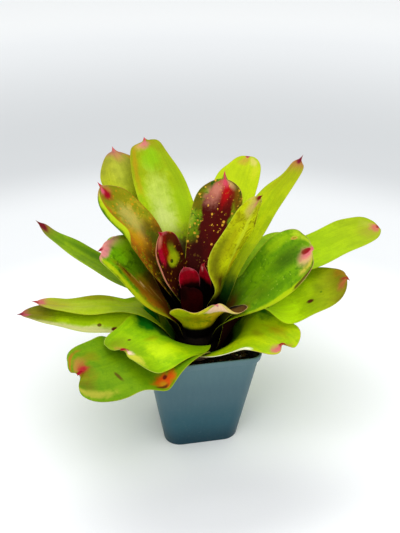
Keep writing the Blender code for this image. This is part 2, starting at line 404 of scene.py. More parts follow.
# %% Soft edges and drain holes
soften = pot.modifiers.new("soft_edges", "BEVEL")
soften.width = SOFT_EDGE * MM
soften.segments = 2
soften.limit_method = "ANGLE"
soften.angle_limit = math.radians(SOFT_ANGLE)
bpy.ops.object.modifier_apply(modifier=soften.name)
for side_x in (-1, 1):
    for side_y in (-1, 1):
        bpy.ops.object.select_all(action="DESELECT")
        bpy.ops.mesh.primitive_cylinder_add(
            vertices=40, radius=DRAIN_RADIUS * MM, depth=0.01,
            location=(side_x * DRAIN_PLACE * MM, side_y * DRAIN_PLACE * MM, 0.0))
        drill = bpy.context.object
        bpy.context.view_layer.objects.active = pot
        hole = pot.modifiers.new("drain", "BOOLEAN")
        hole.operation = "DIFFERENCE"
        hole.solver = "EXACT"
        hole.object = drill
        bpy.ops.object.modifier_apply(modifier=hole.name)
        bpy.data.objects.remove(drill, do_unlink=True)
bpy.ops.object.select_all(action="DESELECT")
pot.select_set(True)
bpy.context.view_layer.objects.active = pot
bpy.ops.object.shade_smooth_by_angle(angle=math.radians(32))
print("with soft edges and holes:", len(pot.data.polygons), "faces")

# %% [markdown]
# The inside of the pot.
# The inner face is rougher, as wet mix dulls it, and is painted almost black as shade, so the finish has to know it
# from the outside. A second material would end at a hard line, so each point instead stores whether it lies well
# behind the outer face.

# %% Inside of the pot
def store(piece, name, values):
    """One number for each point, which a finish can read by its name."""
    layer = piece.data.attributes.new(name, "FLOAT", "POINT")
    layer.data.foreach_set("value", values)


within = []
for point in pot.data.vertices:
    px, py, height = (c / MM for c in point.co)
    half = wall_half(height) + (RIM_STEP if height > RIM_FOOT + 0.45 else 0.0)
    corner = wall_corner(height)
    over_x, over_y = (max(abs(c) - half + corner, 0.0) for c in (px, py))
    depth = corner - math.hypot(over_x, over_y) if over_x or over_y else corner
    within.append(1.0 if depth > INSIDE_DEPTH and 1.0 < height < POT_HEIGHT - 0.2 else 0.0)
store(pot, "inside", within)
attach(pot, "root")
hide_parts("pot")
print("pot: inside points", int(sum(within)), "size", [round(d * 1000, 1) for d in pot.dimensions], "mm")

# %% [markdown]
# The pot's plastic.
# The plastic is a slate blue, coloured through and left satin by the mould. Light and shade are painted into it:
# the upper half paler, the foot deep teal and the rim collar lit by a painted highlight. Fine upright flow lines,
# dust specks and a few scuffs break the sheen. The inside is the same plastic, rougher as wet mix dulls it, and
# painted almost black as shade. A gradient by height and some noise give this.

# %% Pot finish
finish = Finish("satin_slate_plastic")
x, y, z = finish.split(finish.place)
up = z / (POT_HEIGHT * MM)
wander = finish.grain(0.022, 3.0)
level = up + 0.10 * (wander - 0.5)
# painted light and shade: the plastic darkens to deep teal at the foot and pales toward the top
plastic = finish.mix(level.ease(0.00, 0.30), (0.0004, 0.034, 0.054, 1), (0.020, 0.086, 0.114, 1))
plastic = finish.mix(level.ease(0.24, 0.62), plastic, (0.060, 0.125, 0.150, 1))
plastic = finish.mix(level.ease(0.58, 1.00), plastic, (0.092, 0.172, 0.190, 1))
around = finish.join(x, y, z * 0.06)
flow = finish.grain(0.0012, 3.0, at=around)
dust = finish.grain(0.0011, 3.0, rough=0.7)
scuff = finish.grain(0.0030, 4.0, at=finish.join(x * 0.25, y * 0.25, z), rough=0.75).ease(0.66, 0.74)
plastic = finish.scaled(plastic, 0.93 + 0.14 * flow)
plastic = finish.mix(dust.ease(0.50, 0.80) * 0.10, plastic, (0.20, 0.24, 0.24, 1))
plastic = finish.mix(scuff * 0.22, plastic, (0.16, 0.21, 0.22, 1))
# a painted highlight on the rim collar
rim_painted_highlight = level.ease(0.925, 0.94) * 0.18
plastic = finish.mix(rim_painted_highlight, plastic, (0.14, 0.21, 0.23, 1))
inner = finish.node("ShaderNodeAttribute", {"attribute_name": "inside"})["Fac"]
# painted shade: the inside of the pot almost black
plastic = finish.mix(inner, plastic, (0.010, 0.014, 0.014, 1))
rough = 0.36 + 0.14 * dust + 0.10 * scuff + 0.12 * inner
dents = finish.bump(flow, 0.00006)
dents = finish.bump(finish.grain(0.0004, 2.0), 0.00003, onto=dents)
set_material(pot, finish.surface(plastic, rough, dents, specular_ior_level=0.15))
print("pot finish uses", len(finish.tree.nodes), "nodes")

# %% [markdown]
# The potting mix.
# What shows between the leaves and the rim is dark, damp mix: peat crumbs, chips of bark and a few white grains.
# A block with bump in its finish would look flat from the side, so the body's top is a fine grid. Its edge is drawn
# to the pot's inner wall, its points are raised and sunk in lumps, and its border is extruded down to the floor.

# %% Potting mix
def read_points(mesh):
    """The mesh's points as rows of x, y and z."""
    flat = np.empty(len(mesh.vertices) * 3)
    mesh.vertices.foreach_get("co", flat)
    return flat.reshape(-1, 3)


def write_points(mesh, points):
    mesh.vertices.foreach_set("co", points.ravel())
    mesh.update()


SOIL_LEVEL = 73.6
SOIL_CELLS = 90
SOIL_GAP = 0.35
SOIL_RINGS = ((40.0, 33.0), (POT_FLOOR + SOIL_GAP, 26.5))    # height and half width farther down
soil_half = wall_half(SOIL_LEVEL) - POT_WALL - SOIL_GAP
bpy.ops.object.select_all(action="DESELECT")
bpy.ops.mesh.primitive_grid_add(x_subdivisions=SOIL_CELLS, y_subdivisions=SOIL_CELLS, size=2.0)
soil = bpy.context.object
soil.name = "soil_fine"
flat = read_points(soil.data)
corner = (wall_corner(SOIL_LEVEL) - POT_WALL) / soil_half
straight = 1.0 - corner
beyond = np.maximum(np.abs(flat[:, :2]) - straight, 0.0)
length = np.hypot(beyond[:, 0], beyond[:, 1])
farthest = np.maximum(beyond.max(axis=1), 1e-9)
pull_in = np.where(length > 0, farthest / np.maximum(length, 1e-9), 1.0)
flat[:, :2] = np.sign(flat[:, :2]) * (np.minimum(np.abs(flat[:, :2]), straight) + beyond * pull_in[:, None])
flat[:, :2] *= soil_half
crumbs = np.array([noise.fractal(Vector((px * 0.16, py * 0.16, 3.0)), 0.8, 2.0, 4) for px, py, _ in flat])
edge_dip = np.maximum(np.abs(flat[:, 0]), np.abs(flat[:, 1])) / soil_half
flat[:, 2] = SOIL_LEVEL + np.clip(crumbs * 1.3 - 0.6, -2.6, 0.35) - 1.2 * edge_dip**6
write_points(soil.data, flat * MM)
bpy.ops.object.mode_set(mode="EDIT")
bpy.ops.mesh.select_mode(type="EDGE")
bpy.ops.mesh.select_all(action="DESELECT")
bpy.ops.mesh.select_non_manifold()
for height, ring_half in SOIL_RINGS:
    bpy.ops.mesh.extrude_region_move()
    shell = bmesh.from_edit_mesh(soil.data)
    loop = [point for point in shell.verts if point.select]
    factor = ring_half * MM / max(point.co.x for point in loop)
    for point in loop:
        point.co.x *= factor
        point.co.y *= factor
        point.co.z = height * MM
    bmesh.update_edit_mesh(soil.data)
bpy.ops.mesh.edge_face_add()
bpy.ops.mesh.select_all(action="SELECT")
bpy.ops.mesh.normals_make_consistent(inside=False)
bpy.ops.object.mode_set(mode="OBJECT")
bpy.ops.object.shade_smooth_by_angle(angle=math.radians(50))
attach(soil, "root")
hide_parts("soil")
print("mix:", len(soil.data.polygons), "faces")

# %% [markdown]
# Bark and white grains.
# The mix is opened up with chips of bark and white volcanic grains, which lie half sunk in its surface. A particle
# system could scatter them, but then they aren't a mesh to export. One small cube, bent out of shape, is copied
# instead, and each copy is turned, sized and laid down on its own.

# %% Bark and white grains
CHIP_COUNT = 240
WHITE_EVERY = 5
CHIP_MARGIN = 4.0
bpy.ops.object.select_all(action="DESELECT")
bpy.ops.mesh.primitive_cube_add(size=2.0)
chip = bpy.context.object
bpy.ops.object.mode_set(mode="EDIT")
bpy.ops.mesh.bevel(offset=0.5, segments=1, affect="EDGES")
bpy.ops.transform.vertex_random(offset=0.22, seed=5)
bpy.ops.object.mode_set(mode="OBJECT")
chip_points = read_points(chip.data)
rng = np.random.default_rng(12)
chips = {"bark_chips": [], "white_grains": []}
reach = soil_half - CHIP_MARGIN
for number in range(CHIP_COUNT):
    px, py = rng.uniform(-reach, reach, 2)
    white = number % WHITE_EVERY == 0
    size = rng.uniform(0.7, 1.3, 3) if white else rng.uniform(0.8, 2.4, 3) * (1.4, 0.9, 0.45)
    turn = Matrix.Rotation(rng.uniform(0, 6.28), 3, "Z") @ Matrix.Rotation(rng.uniform(-0.5, 0.5), 3, "X")
    copy = chip.copy()
    copy.data = chip.data.copy()
    bpy.context.collection.objects.link(copy)
    nearest = np.argmin((flat[:, 0] - px) ** 2 + (flat[:, 1] - py) ** 2)
    at = np.array([px, py, min(flat[nearest, 2] + 0.2, SOIL_LEVEL - size[2])])
    placed = (chip_points * size) @ np.array(turn).T + at
    write_points(copy.data, placed * MM)
    chips["white_grains" if white else "bark_chips"].append(copy)
bpy.data.objects.remove(chip, do_unlink=True)
for name, copies in chips.items():
    bpy.ops.object.select_all(action="DESELECT")
    for copy in copies:
        copy.select_set(True)
    bpy.context.view_layer.objects.active = copies[0]
    bpy.ops.object.join()
    chips[name] = bpy.context.object
    chips[name].name = name
    bpy.ops.object.shade_smooth_by_angle(angle=math.radians(40))
    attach(chips[name], "root")
    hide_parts("soil")
print("chips and grains, faces:", {name: len(p.data.polygons) for name, p in chips.items()})

# %% [markdown]
# The mix's finish.
# Damp peat is almost black, with brown fibres and crumbs that catch a little light. Bark is red brown with
# darker grain, and the white grains are stained by the peat. All are matt, so they get a high roughness and a
# deep bump. The stem keeps its measured shape, since it hardly shows, and gets the same kind of finish, painted near
# black as the shade deep in the cup.

# %% Mix and stem finishes
finish = Finish("damp_peat")
crumb = finish.grain(0.0016, 4.0, rough=0.7)
fibre = finish.grain(0.0006, 3.0, rough=0.8, warp=1.5)
peat = finish.mix(crumb.ease(0.35, 0.65), (0.003, 0.002, 0.0015, 1), (0.010, 0.006, 0.004, 1))
peat = finish.mix(fibre.ease(0.64, 0.74) * 0.7, peat, (0.060, 0.038, 0.020, 1))
set_material(soil, finish.surface(peat, 0.80 + 0.15 * crumb, finish.bump(crumb + 0.5 * fibre, 0.0008),
                                  specular_ior_level=0.2))


def grained(name, size, stretch, edges, first, second, roughness, depth, sheen):
    """Two colours, roughness and dents that all follow one noise, stretched along each axis."""
    finish = Finish(name)
    at = finish.join(*(axis * factor for axis, factor in zip(finish.split(finish.place), stretch)))
    grain = finish.grain(size, 3.0, at=at)
    colour = finish.mix(grain.ease(*edges), first, second)
    return finish.surface(colour, roughness[0] + roughness[1] * grain, finish.bump(grain, depth),
                          specular_ior_level=sheen)


bark = grained("pine_bark", 0.0008, (1.0, 0.3, 2.0), (0.35, 0.68), (0.020, 0.010, 0.006, 1),
               (0.095, 0.048, 0.026, 1), (0.85, 0.1), 0.0004, 0.2)
set_material(chips["bark_chips"], bark)

perlite = grained("stained_perlite", 0.0010, (1.0, 1.0, 1.0), (0.40, 0.66), (0.42, 0.38, 0.31, 1),
                  (0.12, 0.085, 0.055, 1), (0.88, 0.08), 0.0003, 0.2)
set_material(chips["white_grains"], perlite)

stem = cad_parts["stem"]
# the stem is painted near black as the shade deep in the cup
stem.material_slots[0].material = grained(
    "stem_bark", 0.0016, (0.35, 0.35, 1.0), (0.38, 0.62), (0.0030, 0.0016, 0.0010, 1), (0.010, 0.006, 0.004, 1),
    (0.70, 0.2), 0.0004, 0.08)
print("mix, chips and stem are coloured")

# %% [markdown]
# The leaves' form.
# Every leaf has the same plan: a sheath bent round the stem, then a blade that opens from it and bends along its
# midrib. The table gives each leaf's bearing, length and width in degrees and millimetres, oldest and lowest first.
# It is the table the measured model was made from, so each fine leaf lies where its solid is.

# %% The table of leaves
SOIL_TOP = 74.0
STEM_BOTTOM = 74.35
STEM_FOOT_RADIUS = 22.0
STEM_TIP_RADIUS = 3.0
STEM_HEIGHT = 25.0
LEAF_BAND = 22.0        # height of the band of the stem that the leaves grow from
OUTER_SHEATH = 46.0     # slope of the lowest sheath and of the highest one, degrees
INNER_SHEATH = 84.0
LEAF_STANDOFF = 1.6     # from the stem to the middle of a leaf's thickness


@dataclass
class Leaf:
    name: str
    bearing: float
    length: float
    width: float
    rise: tuple             # the blade's slope at its start and at its end, degrees
    roll: float = 0.0       # how far the blade leans about its midrib, degrees
    channel: float = 20.0   # how far a margin of the blade turns up, degrees
    clasp: float = 50.0     # how far the sheath wraps round to each side, degrees
    taper: float = 0.74     # share of the length where the end starts to narrow
    sheath: float = 28.0    # length of the sheath
    twist: float = 0.0      # lean of the sheath, degrees


LEAVES = [
    Leaf("outer_leaf_1", 208, 98, 68, (1, -22), roll=-22, channel=8, clasp=66, twist=6, sheath=29),
    Leaf("outer_leaf_2", 62, 120, 48, (24, -6), clasp=42),
    Leaf("outer_leaf_3", 316, 70, 50, (34, -24), roll=4, channel=14, clasp=62, sheath=26),
    Leaf("outer_leaf_4", 110, 124, 48, (24, -4), clasp=44),
    Leaf("outer_leaf_5", 213, 72, 61, (17, -12), roll=-8, channel=7, clasp=56, twist=16, sheath=28),
    Leaf("outer_leaf_6", 352, 116, 48, (22, 12), roll=10, channel=14, clasp=48),
    Leaf("outer_leaf_7", 168, 134, 35, (5, -5), roll=0, channel=20, clasp=36, taper=0.4, sheath=30),
    Leaf("outer_leaf_8", 36, 126, 44, (22, 0), clasp=42),
    Leaf("middle_leaf_1", 165, 126, 32, (3, 1), roll=4, channel=20, clasp=38, taper=0.4, sheath=30),
    Leaf("middle_leaf_2", 12, 168, 42, (27, 8), roll=6, clasp=42),
    Leaf("middle_leaf_3", 94, 130, 44, (30, 12), clasp=36),
    Leaf("middle_leaf_4", 348, 107, 50, (50, 38), roll=34, channel=16, clasp=54),
    Leaf("middle_leaf_5", 152, 148, 34, (22, 30), roll=-8, channel=30, clasp=46, taper=0.45),
    Leaf("middle_leaf_6", 61, 170, 40, (43, 18), clasp=42),
    Leaf("middle_leaf_7", 171, 96, 44, (42, 42), roll=-30, channel=16, clasp=48, sheath=24),
    Leaf("middle_leaf_8", 30, 160, 30, (53, 39), channel=26, clasp=44, taper=0.5),
    Leaf("inner_leaf_1", 120, 157, 48, (54, 50), channel=24, clasp=44),
    Leaf("inner_leaf_2", 277, 56, 58, (58, 36), channel=24, clasp=60, taper=0.6, sheath=18),
    Leaf("inner_leaf_3", 105, 156, 46, (61, 47), clasp=44),
    Leaf("inner_leaf_4", 323, 131, 40, (82, 62), roll=-44, channel=26, clasp=40, taper=0.5),
    Leaf("inner_leaf_5", 149, 135, 46, (60, 44), channel=24, clasp=44),
    Leaf("heart_leaf_1", 241, 46, 20, (88, 74), channel=40, clasp=38, sheath=14),
    Leaf("inner_leaf_6", 55, 121, 42, (70, 51), channel=22, clasp=38, sheath=24),
    Leaf("heart_leaf_2", 149, 80, 32, (70, 62), roll=-34, channel=28, clasp=40, sheath=20),
    Leaf("heart_leaf_3", 35, 48, 20, (83, 71), channel=36, clasp=36, sheath=12),
    Leaf("heart_leaf_4", 124, 40, 17, (84, 80), channel=40, clasp=36, sheath=12),
]
print(len(LEAVES), "leaves")

# %% [markdown]
# The leaf's midrib.
# A leaf is drawn along its midrib. From the stem it rises with the sheath, bends over into the blade and ends in a
# small hard point that bends once more. A curve object could follow it, but the slope is known at every distance,
# so adding up short steps gives the line at once.

# %% Midrib of a leaf
MIDRIB_STEPS = 400
SKYWARD = np.array([0.0, 0.0, 1.0])


def ease(low, high, at):
    """A smooth step from 0 at low to 1 at high."""
    t = np.clip((np.asarray(at, float) - low) / (high - low), 0.0, 1.0)
    return t * t * (3.0 - 2.0 * t)


def leaf_start(order):
    """Radius and height in mm where a leaf springs from the stem."""
    height = SOIL_TOP + 1.0 + LEAF_BAND * order / (len(LEAVES) - 1)
    up_stem = (height - STEM_BOTTOM) / STEM_HEIGHT
    return STEM_FOOT_RADIUS + (STEM_TIP_RADIUS - STEM_FOOT_RADIUS) * up_stem + LEAF_STANDOFF, height


@dataclass
class Shape:
    """What makes one blade's outline its own; lengths in mm."""
    cusp: float = 3.5          # length of the hard point
    bend: float = 50.0         # how far the point bends down, degrees (negative bends it up)
    notch: float = 0.0         # how far the middle of the end draws back
    end: float = 2.4           # how square the shoulders are
    wave: float = 0.7          # height of the margins' waves
    groove: float = 0.5        # depth of the midrib
    curls: tuple = ()          # (margin side, from s, to s, from v, degrees it turns up)
    pulls: tuple = ()          # (s, v, reach in mm, reach in v, mm to the right, mm up)
    root: float = 1.0          # where the pulls fade in; less lets them shape the sheath too


def trace_midrib(order, shape, outward):
    """Distances along the midrib, with its points and its directions there, in mm."""
    leaf = LEAVES[order]
    sheath = leaf.sheath
    sheath_slope = OUTER_SHEATH + (INNER_SHEATH - OUTER_SHEATH) * order / (len(LEAVES) - 1)
    start_radius, start_height = leaf_start(order)
    full = leaf.length + shape.cusp
    line = np.linspace(0.0, full, MIDRIB_STEPS + 1)
    blade_share = np.clip((line - sheath) / (leaf.length - sheath), 0.0, 1.0)
    blade_slope = leaf.rise[0] + (leaf.rise[1] - leaf.rise[0]) * blade_share
    slope = sheath_slope + (blade_slope - sheath_slope) * ease(0.5 * sheath, 1.7 * sheath, line)
    slope = slope - shape.bend * ease(leaf.length - shape.cusp, full, line)
    slope = np.radians(slope)[:, None]
    along = np.cos(slope) * outward + np.sin(slope) * SKYWARD
    steps = (along[1:] + along[:-1]) / 2 * full / MIDRIB_STEPS
    start = outward * start_radius + SKYWARD * start_height
    return line, start + np.vstack([np.zeros(3), np.cumsum(steps, axis=0)]), along


# %% [markdown]
# The leaf's surface.
# One function gives the middle surface of a leaf as points for a share s of its length and a share v of its half
# width. The real leaf isn't a plain strip: its midrib is a shallow groove, its margins wave a little, and age has
# pulled each blade out of its rule. Waves come from sines, and what makes one blade its own is a few soft pulls, as
# proportional editing would give. The cross-section is drawn by its slope, so a margin can turn as far as it likes.

# %% Surface of a leaf
SECTION_STEPS = 16
GROOVE_WIDTH = 1.6
NOTCH_WIDTH = 4.5
SHORT_WAVE, LONG_WAVE, SWELL = 7.0, 12.7, 17.0


def ripples(order, shape, distance, v, side, near_end):
    """How far groove, waves and a slow swell lift the surface, in mm."""
    sheath = LEAVES[order].sheath
    open_blade = ease(1.2 * sheath, 2.2 * sheath, distance)
    turns = np.random.default_rng(40 + order).uniform(0, 2 * math.pi, 4)
    lift = -shape.groove * np.exp(-(side / GROOVE_WIDTH) ** 2) * ease(0.6 * sheath, 1.4 * sheath, distance)
    waves = np.sin(distance / SHORT_WAVE + turns[0] + turns[1] * (v > 0))
    waves = waves + 0.6 * np.sin(distance / LONG_WAVE + turns[2])
    lift = lift + shape.wave * waves * np.abs(v) ** 3 * open_blade * (1 - near_end)
    swell = 0.5 * np.sin(distance / SWELL + turns[3]) * np.sin(1.5 * v + turns[1]) * open_blade * (1 - near_end)
    return lift + swell


def leaf_surface(order, shape, s, v):
    """Middle surface in mm; s 0..1 from base to tip, v -1..1 from the right to the left margin."""
    leaf = LEAVES[order]
    sheath = leaf.sheath
    heading = math.radians(leaf.bearing)
    outward = np.array([math.cos(heading), math.sin(heading), 0.0])
    line, midrib, along = trace_midrib(order, shape, outward)
    s, v = np.broadcast_arrays(np.asarray(s, float), np.asarray(v, float))
    distance = s * line[-1]
    share = distance / leaf.length
    point, direction = (np.stack([np.interp(distance, line, track[:, axis]) for axis in range(3)], axis=-1)
                        for track in (midrib, along))

    # Which way the section faces: bent round the stem in the sheath, level and then rolled in the blade.
    opening = ease(0.7 * sheath, 1.8 * sheath, distance)
    across = np.broadcast_to(np.cross(SKYWARD, outward), point.shape)
    upper = np.cross(direction, across) * opening[..., None] - outward * (1.0 - opening[..., None])
    upper = upper / np.linalg.norm(upper, axis=-1, keepdims=True)
    lean = np.radians(leaf.roll) * ease(0.25, 0.9, share)[..., None]
    across, upper = (across * np.cos(lean) + upper * np.sin(lean),
                     upper * np.cos(lean) - across * np.sin(lean))

    # How wide it is: the sheath's clasp, the blade, and the narrowing to the hard point.
    half_angle = np.radians(leaf.clasp + (leaf.channel - leaf.clasp) * opening)
    sheath_width = 2 * math.radians(leaf.clasp) * np.hypot(point[..., 0], point[..., 1])
    blade_width = leaf.width * (0.80 + 0.20 * ease(0.25, 0.62, share))
    width = sheath_width + (blade_width - sheath_width) * opening
    narrowing = np.clip((share - leaf.taper) / (1 - leaf.taper), 0, 1)
    past = np.clip((distance - leaf.length) / shape.cusp, 0, 1)
    narrowed = np.sqrt(1.0 - 0.985 * narrowing**shape.end) * (1.0 - past) ** 1.3
    width = np.maximum(width * narrowed, 0.02)

    # The section itself, added up from its slope.
    at = v[..., None] * (np.arange(SECTION_STEPS) + 0.5) / SECTION_STEPS
    turn = at * half_angle[..., None] + math.radians(leaf.twist) * (1.0 - opening[..., None])
    for side, from_s, to_s, from_v, degrees in shape.curls:
        span = ease(from_s - 0.12, from_s, share) * (1 - ease(to_s, to_s + 0.12, share))
        turn = turn + side * math.radians(degrees) * span[..., None] * ease(from_v, 1.0, side * at)
    side = v * width / 2
    sideways = side * np.cos(turn).mean(axis=-1)
    raised = side * np.sin(turn).mean(axis=-1)
    place = point + across * sideways[..., None] + upper * raised[..., None]

    # What age and growth did to it.
    near_end = ease(leaf.length * 0.80, leaf.length, distance)
    draw = shape.notch * np.exp(-(side / NOTCH_WIDTH) ** 2) * near_end**2
    lift = ripples(order, shape, distance, v, side, near_end)
    place = place + upper * (lift - 0.4 * draw)[..., None] - direction * draw[..., None]
    for pull_s, pull_v, reach, reach_v, right, up in shape.pulls:
        off_s, off_v = (share - pull_s) * leaf.length / reach, (v * narrowed - pull_v) / reach_v
        weight = np.exp(-off_s**2 - off_v**2)
        weight = weight * ease(0.5 * sheath * shape.root, 1.2 * sheath * shape.root, distance)
        place = place + weight[..., None] * (right * np.array(rightward) + up * np.array(upward))
    return place


# %% [markdown]
# Each leaf's own shape.
# No rule gives the bent ends, folded margins and notches of single leaves, and an artist would pull at them one by
# one. So does this table: each pull says where on the leaf it takes hold, how far it reaches and how far it moves
# the leaf to the camera's right and up. The nearest and lowest leaves have the most, and the rest keep the plan.

# %% Shapes of the leaves
SHAPES = {leaf.name: Shape() for leaf in LEAVES}
SHAPES.update({
    "outer_leaf_1": Shape(cusp=3, bend=80, notch=5, wave=0.9, pulls=((0.93, 0, 16, 0.8, 0, 8),
        (0.97, 0.7, 9, 0.45, -7, -4), (0.985, 0.4, 7, 0.3, -5, 1), (0.42, -1, 16, 0.6, 0, -9),
        (0.28, -1, 12, 0.6, 0, -8), (0.66, 1, 14, 0.5, 3, 1), (0.54, 1, 10, 0.5, 9, -9), (0.42, 1, 10, 0.5, 5, -5),
        (0.9, -1, 14, 0.5, 2, -1), (0.75, -1, 14, 0.6, 6, -4), (0.6, -1, 14, 0.6, 3, -2))),
    "outer_leaf_3": Shape(cusp=2.5, bend=70, notch=4, root=0.7, pulls=((0.93, 0.9, 13, 0.6, 6, 0),
        (0.97, 0.45, 9, 0.4, 0, -5), (1, 0, 8, 0.3, 0, 3), (0.85, -1, 14, 0.5, 0, 2), (0.45, -1, 10, 0.5, 3, -7),
        (0.7, 1, 14, 0.5, 2, -2), (0.48, 1, 10, 0.6, -3, 10))),
    "outer_leaf_5": Shape(cusp=3, bend=75, notch=5, root=0.3, pulls=((0.8, 1, 14, 0.6, 0, -5),
        (0.6, 1, 12, 0.5, 0, -6), (0.42, 1, 9, 0.5, 1, -8), (0.93, 0.3, 12, 0.6, 3, 2), (0.8, -1, 13, 0.6, 2, -8),
        (0.5, -1, 13, 0.6, 6, -1), (0.96, -0.8, 8, 0.4, 0, -3), (0.3, -1, 12, 0.8, 1, 15), (0.15, -1, 9, 0.8, 0, 14),
        (0.25, 1, 10, 0.6, 4, 0))),
    "outer_leaf_6": Shape(root=0.3, pulls=((0.58, -1, 17, 0.7, 0, -8), (1, 0, 10, 0.8, -2, 5),
        (0.22, -1, 12, 0.7, -2, 13), (0.38, -1, 12, 0.6, 0, 9))),
    "outer_leaf_7": Shape(cusp=4, bend=10, pulls=((0.85, 0, 30, 2, 2, -4), (0.55, -1, 40, 0.9, 0, -3),
        (0.6, 1, 30, 0.8, 0, -11), (0.42, 1, 18, 0.8, 0, -6), (0.32, 1, 14, 0.6, -1, -5), (1, 0, 8, 2, 1, -1))),
    "middle_leaf_1": Shape(cusp=4, bend=-10, end=2.2, pulls=((0.62, -1, 30, 0.9, 0, -4), (0.38, -1, 16, 0.9, 0, -4),
        (0.85, 0, 24, 2, 2, -4), (0.65, 1, 30, 0.8, 0, -4), (1, 0, 10, 2, 2, -1))),
    "middle_leaf_2": Shape(cusp=2.5, end=3, pulls=((0.97, 1, 10, 0.6, 1, 2), (0.97, -1, 10, 0.6, -1, -2))),
    "middle_leaf_4": Shape(cusp=3, bend=60, pulls=((0.55, -1, 24, 0.6, 0, -5), (0.93, 0.7, 12, 0.6, 4, 4),
        (0.95, -0.3, 12, 0.5, 3, -1))),
    "middle_leaf_5": Shape(cusp=4, bend=-20, end=1.5, groove=0.2, pulls=((0.7, -1, 36, 0.9, 0, -4),
        (0.92, -1, 20, 0.8, 0, -4), (0.55, 1, 40, 0.8, 1, -1), (0.8, 1, 24, 0.8, 2, 1), (1, 0, 10, 2, 4, 0))),
    "middle_leaf_6": Shape(cusp=2.5, bend=30, pulls=((1, 0, 16, 2, 0, -2), (0.92, 1, 14, 0.6, 2, -3))),
    "middle_leaf_7": Shape(cusp=3, bend=60, pulls=((0.75, -0.4, 30, 1.4, 1, 9), (0.65, -1, 20, 0.6, 3, 3),
        (0.85, 1, 18, 0.8, 1, 11), (0.66, 1, 18, 0.8, 0, 3), (0.4, 1, 14, 0.8, 1, -3), (1, 0, 9, 1, 4, 0))),
    "middle_leaf_8": Shape(cusp=4, bend=-10, end=1.8, pulls=((0.92, -1, 14, 0.8, 4, 0), (0.9, 1, 14, 0.8, 3, -4),
        (1, 0, 8, 2, -3, -4))),
    "inner_leaf_1": Shape(cusp=4, bend=-10, pulls=((0.95, -0.6, 16, 0.6, 0, -5), (0.82, 1, 16, 0.7, -5, 0),
        (1, 0, 12, 2, 0, -4))),
    "inner_leaf_2": Shape(cusp=2.5, bend=20, wave=1.2, pulls=((0.9, 1, 12, 0.6, 5, -5), (1, 0, 7, 0.35, 1, 5),
        (0.9, -1, 14, 0.5, 2, 3), (0.95, 0.55, 8, 0.3, 0, -5), (0.8, 1, 14, 0.5, 2, -4),
        (0.95, -0.5, 8, 0.45, 0, -5))),
    "inner_leaf_3": Shape(cusp=4, bend=-10, pulls=((1, 0, 12, 2, 0, -5), (0.92, -1, 16, 0.7, -5, -1),
        (0.82, -1, 14, 0.6, -3, 0), (0.975, -0.5, 10, 0.55, 0, 3.5), (0.955, 0.7, 9, 0.6, -1, 2.5))),
    "inner_leaf_4": Shape(cusp=4, bend=20, end=1.6, pulls=((0.8, -1, 24, 0.8, 5, 0), (0.9, 1, 18, 0.7, -3, 1),
        (0.36, -1, 12, 0.7, 6, 0))),
    "inner_leaf_5": Shape(cusp=4, bend=-20, curls=((1, 0.72, 0.95, 0.55, 130),), pulls=((0.85, 1, 26, 0.7, -6, -1),
        (1, 0, 12, 1, 4, -1), (0.95, -0.5, 12, 0.6, 0, -3))),
    "heart_leaf_1": Shape(cusp=2, bend=20),
    "inner_leaf_6": Shape(cusp=6, bend=-10, pulls=((0.98, 0, 14, 3, 0, -5), (1.05, 0, 7, 2, -3, 0))),
    "heart_leaf_2": Shape(cusp=2.5, bend=20, pulls=((0.8, 1, 20, 0.9, 5, 0), (1, 0, 10, 2, 5, 0))),
    "heart_leaf_3": Shape(cusp=2, bend=20, pulls=((1, 0, 16, 2, -7, 0), (0.85, 1, 16, 0.8, 6, 0))),
    "heart_leaf_4": Shape(cusp=1.5, bend=40, pulls=((1, 0, 16, 2, -1, 5), (0.9, 1, 10, 0.8, -2, 0),
        (0.85, -1, 14, 0.8, 4, -1))),
})
print(sum(len(shape.pulls) for shape in SHAPES.values()), "pulls shape the leaves")

# %% [markdown]
# Making a leaf.
# A leaf could be sculpted, but a flat grid that is laid on the surface keeps even, flowing rows, and its map
# follows the veins. The grid is added flat, its rows are crowded toward the end where the outline turns fast, and
# its points are moved onto the surface. A Solidify modifier then gives the fleshy thickness, which thins toward the
# margins through a vertex group. Each point stores whether it is on the underside, which has colours of its own.

# %% Leaf modelling
LEAF_ROWS = 150
LEAF_COLUMNS = 26
LEAF_THICKNESS = 0.8
TIP_CROWDING = 1.25
MARGIN_CROWDING = 0.9


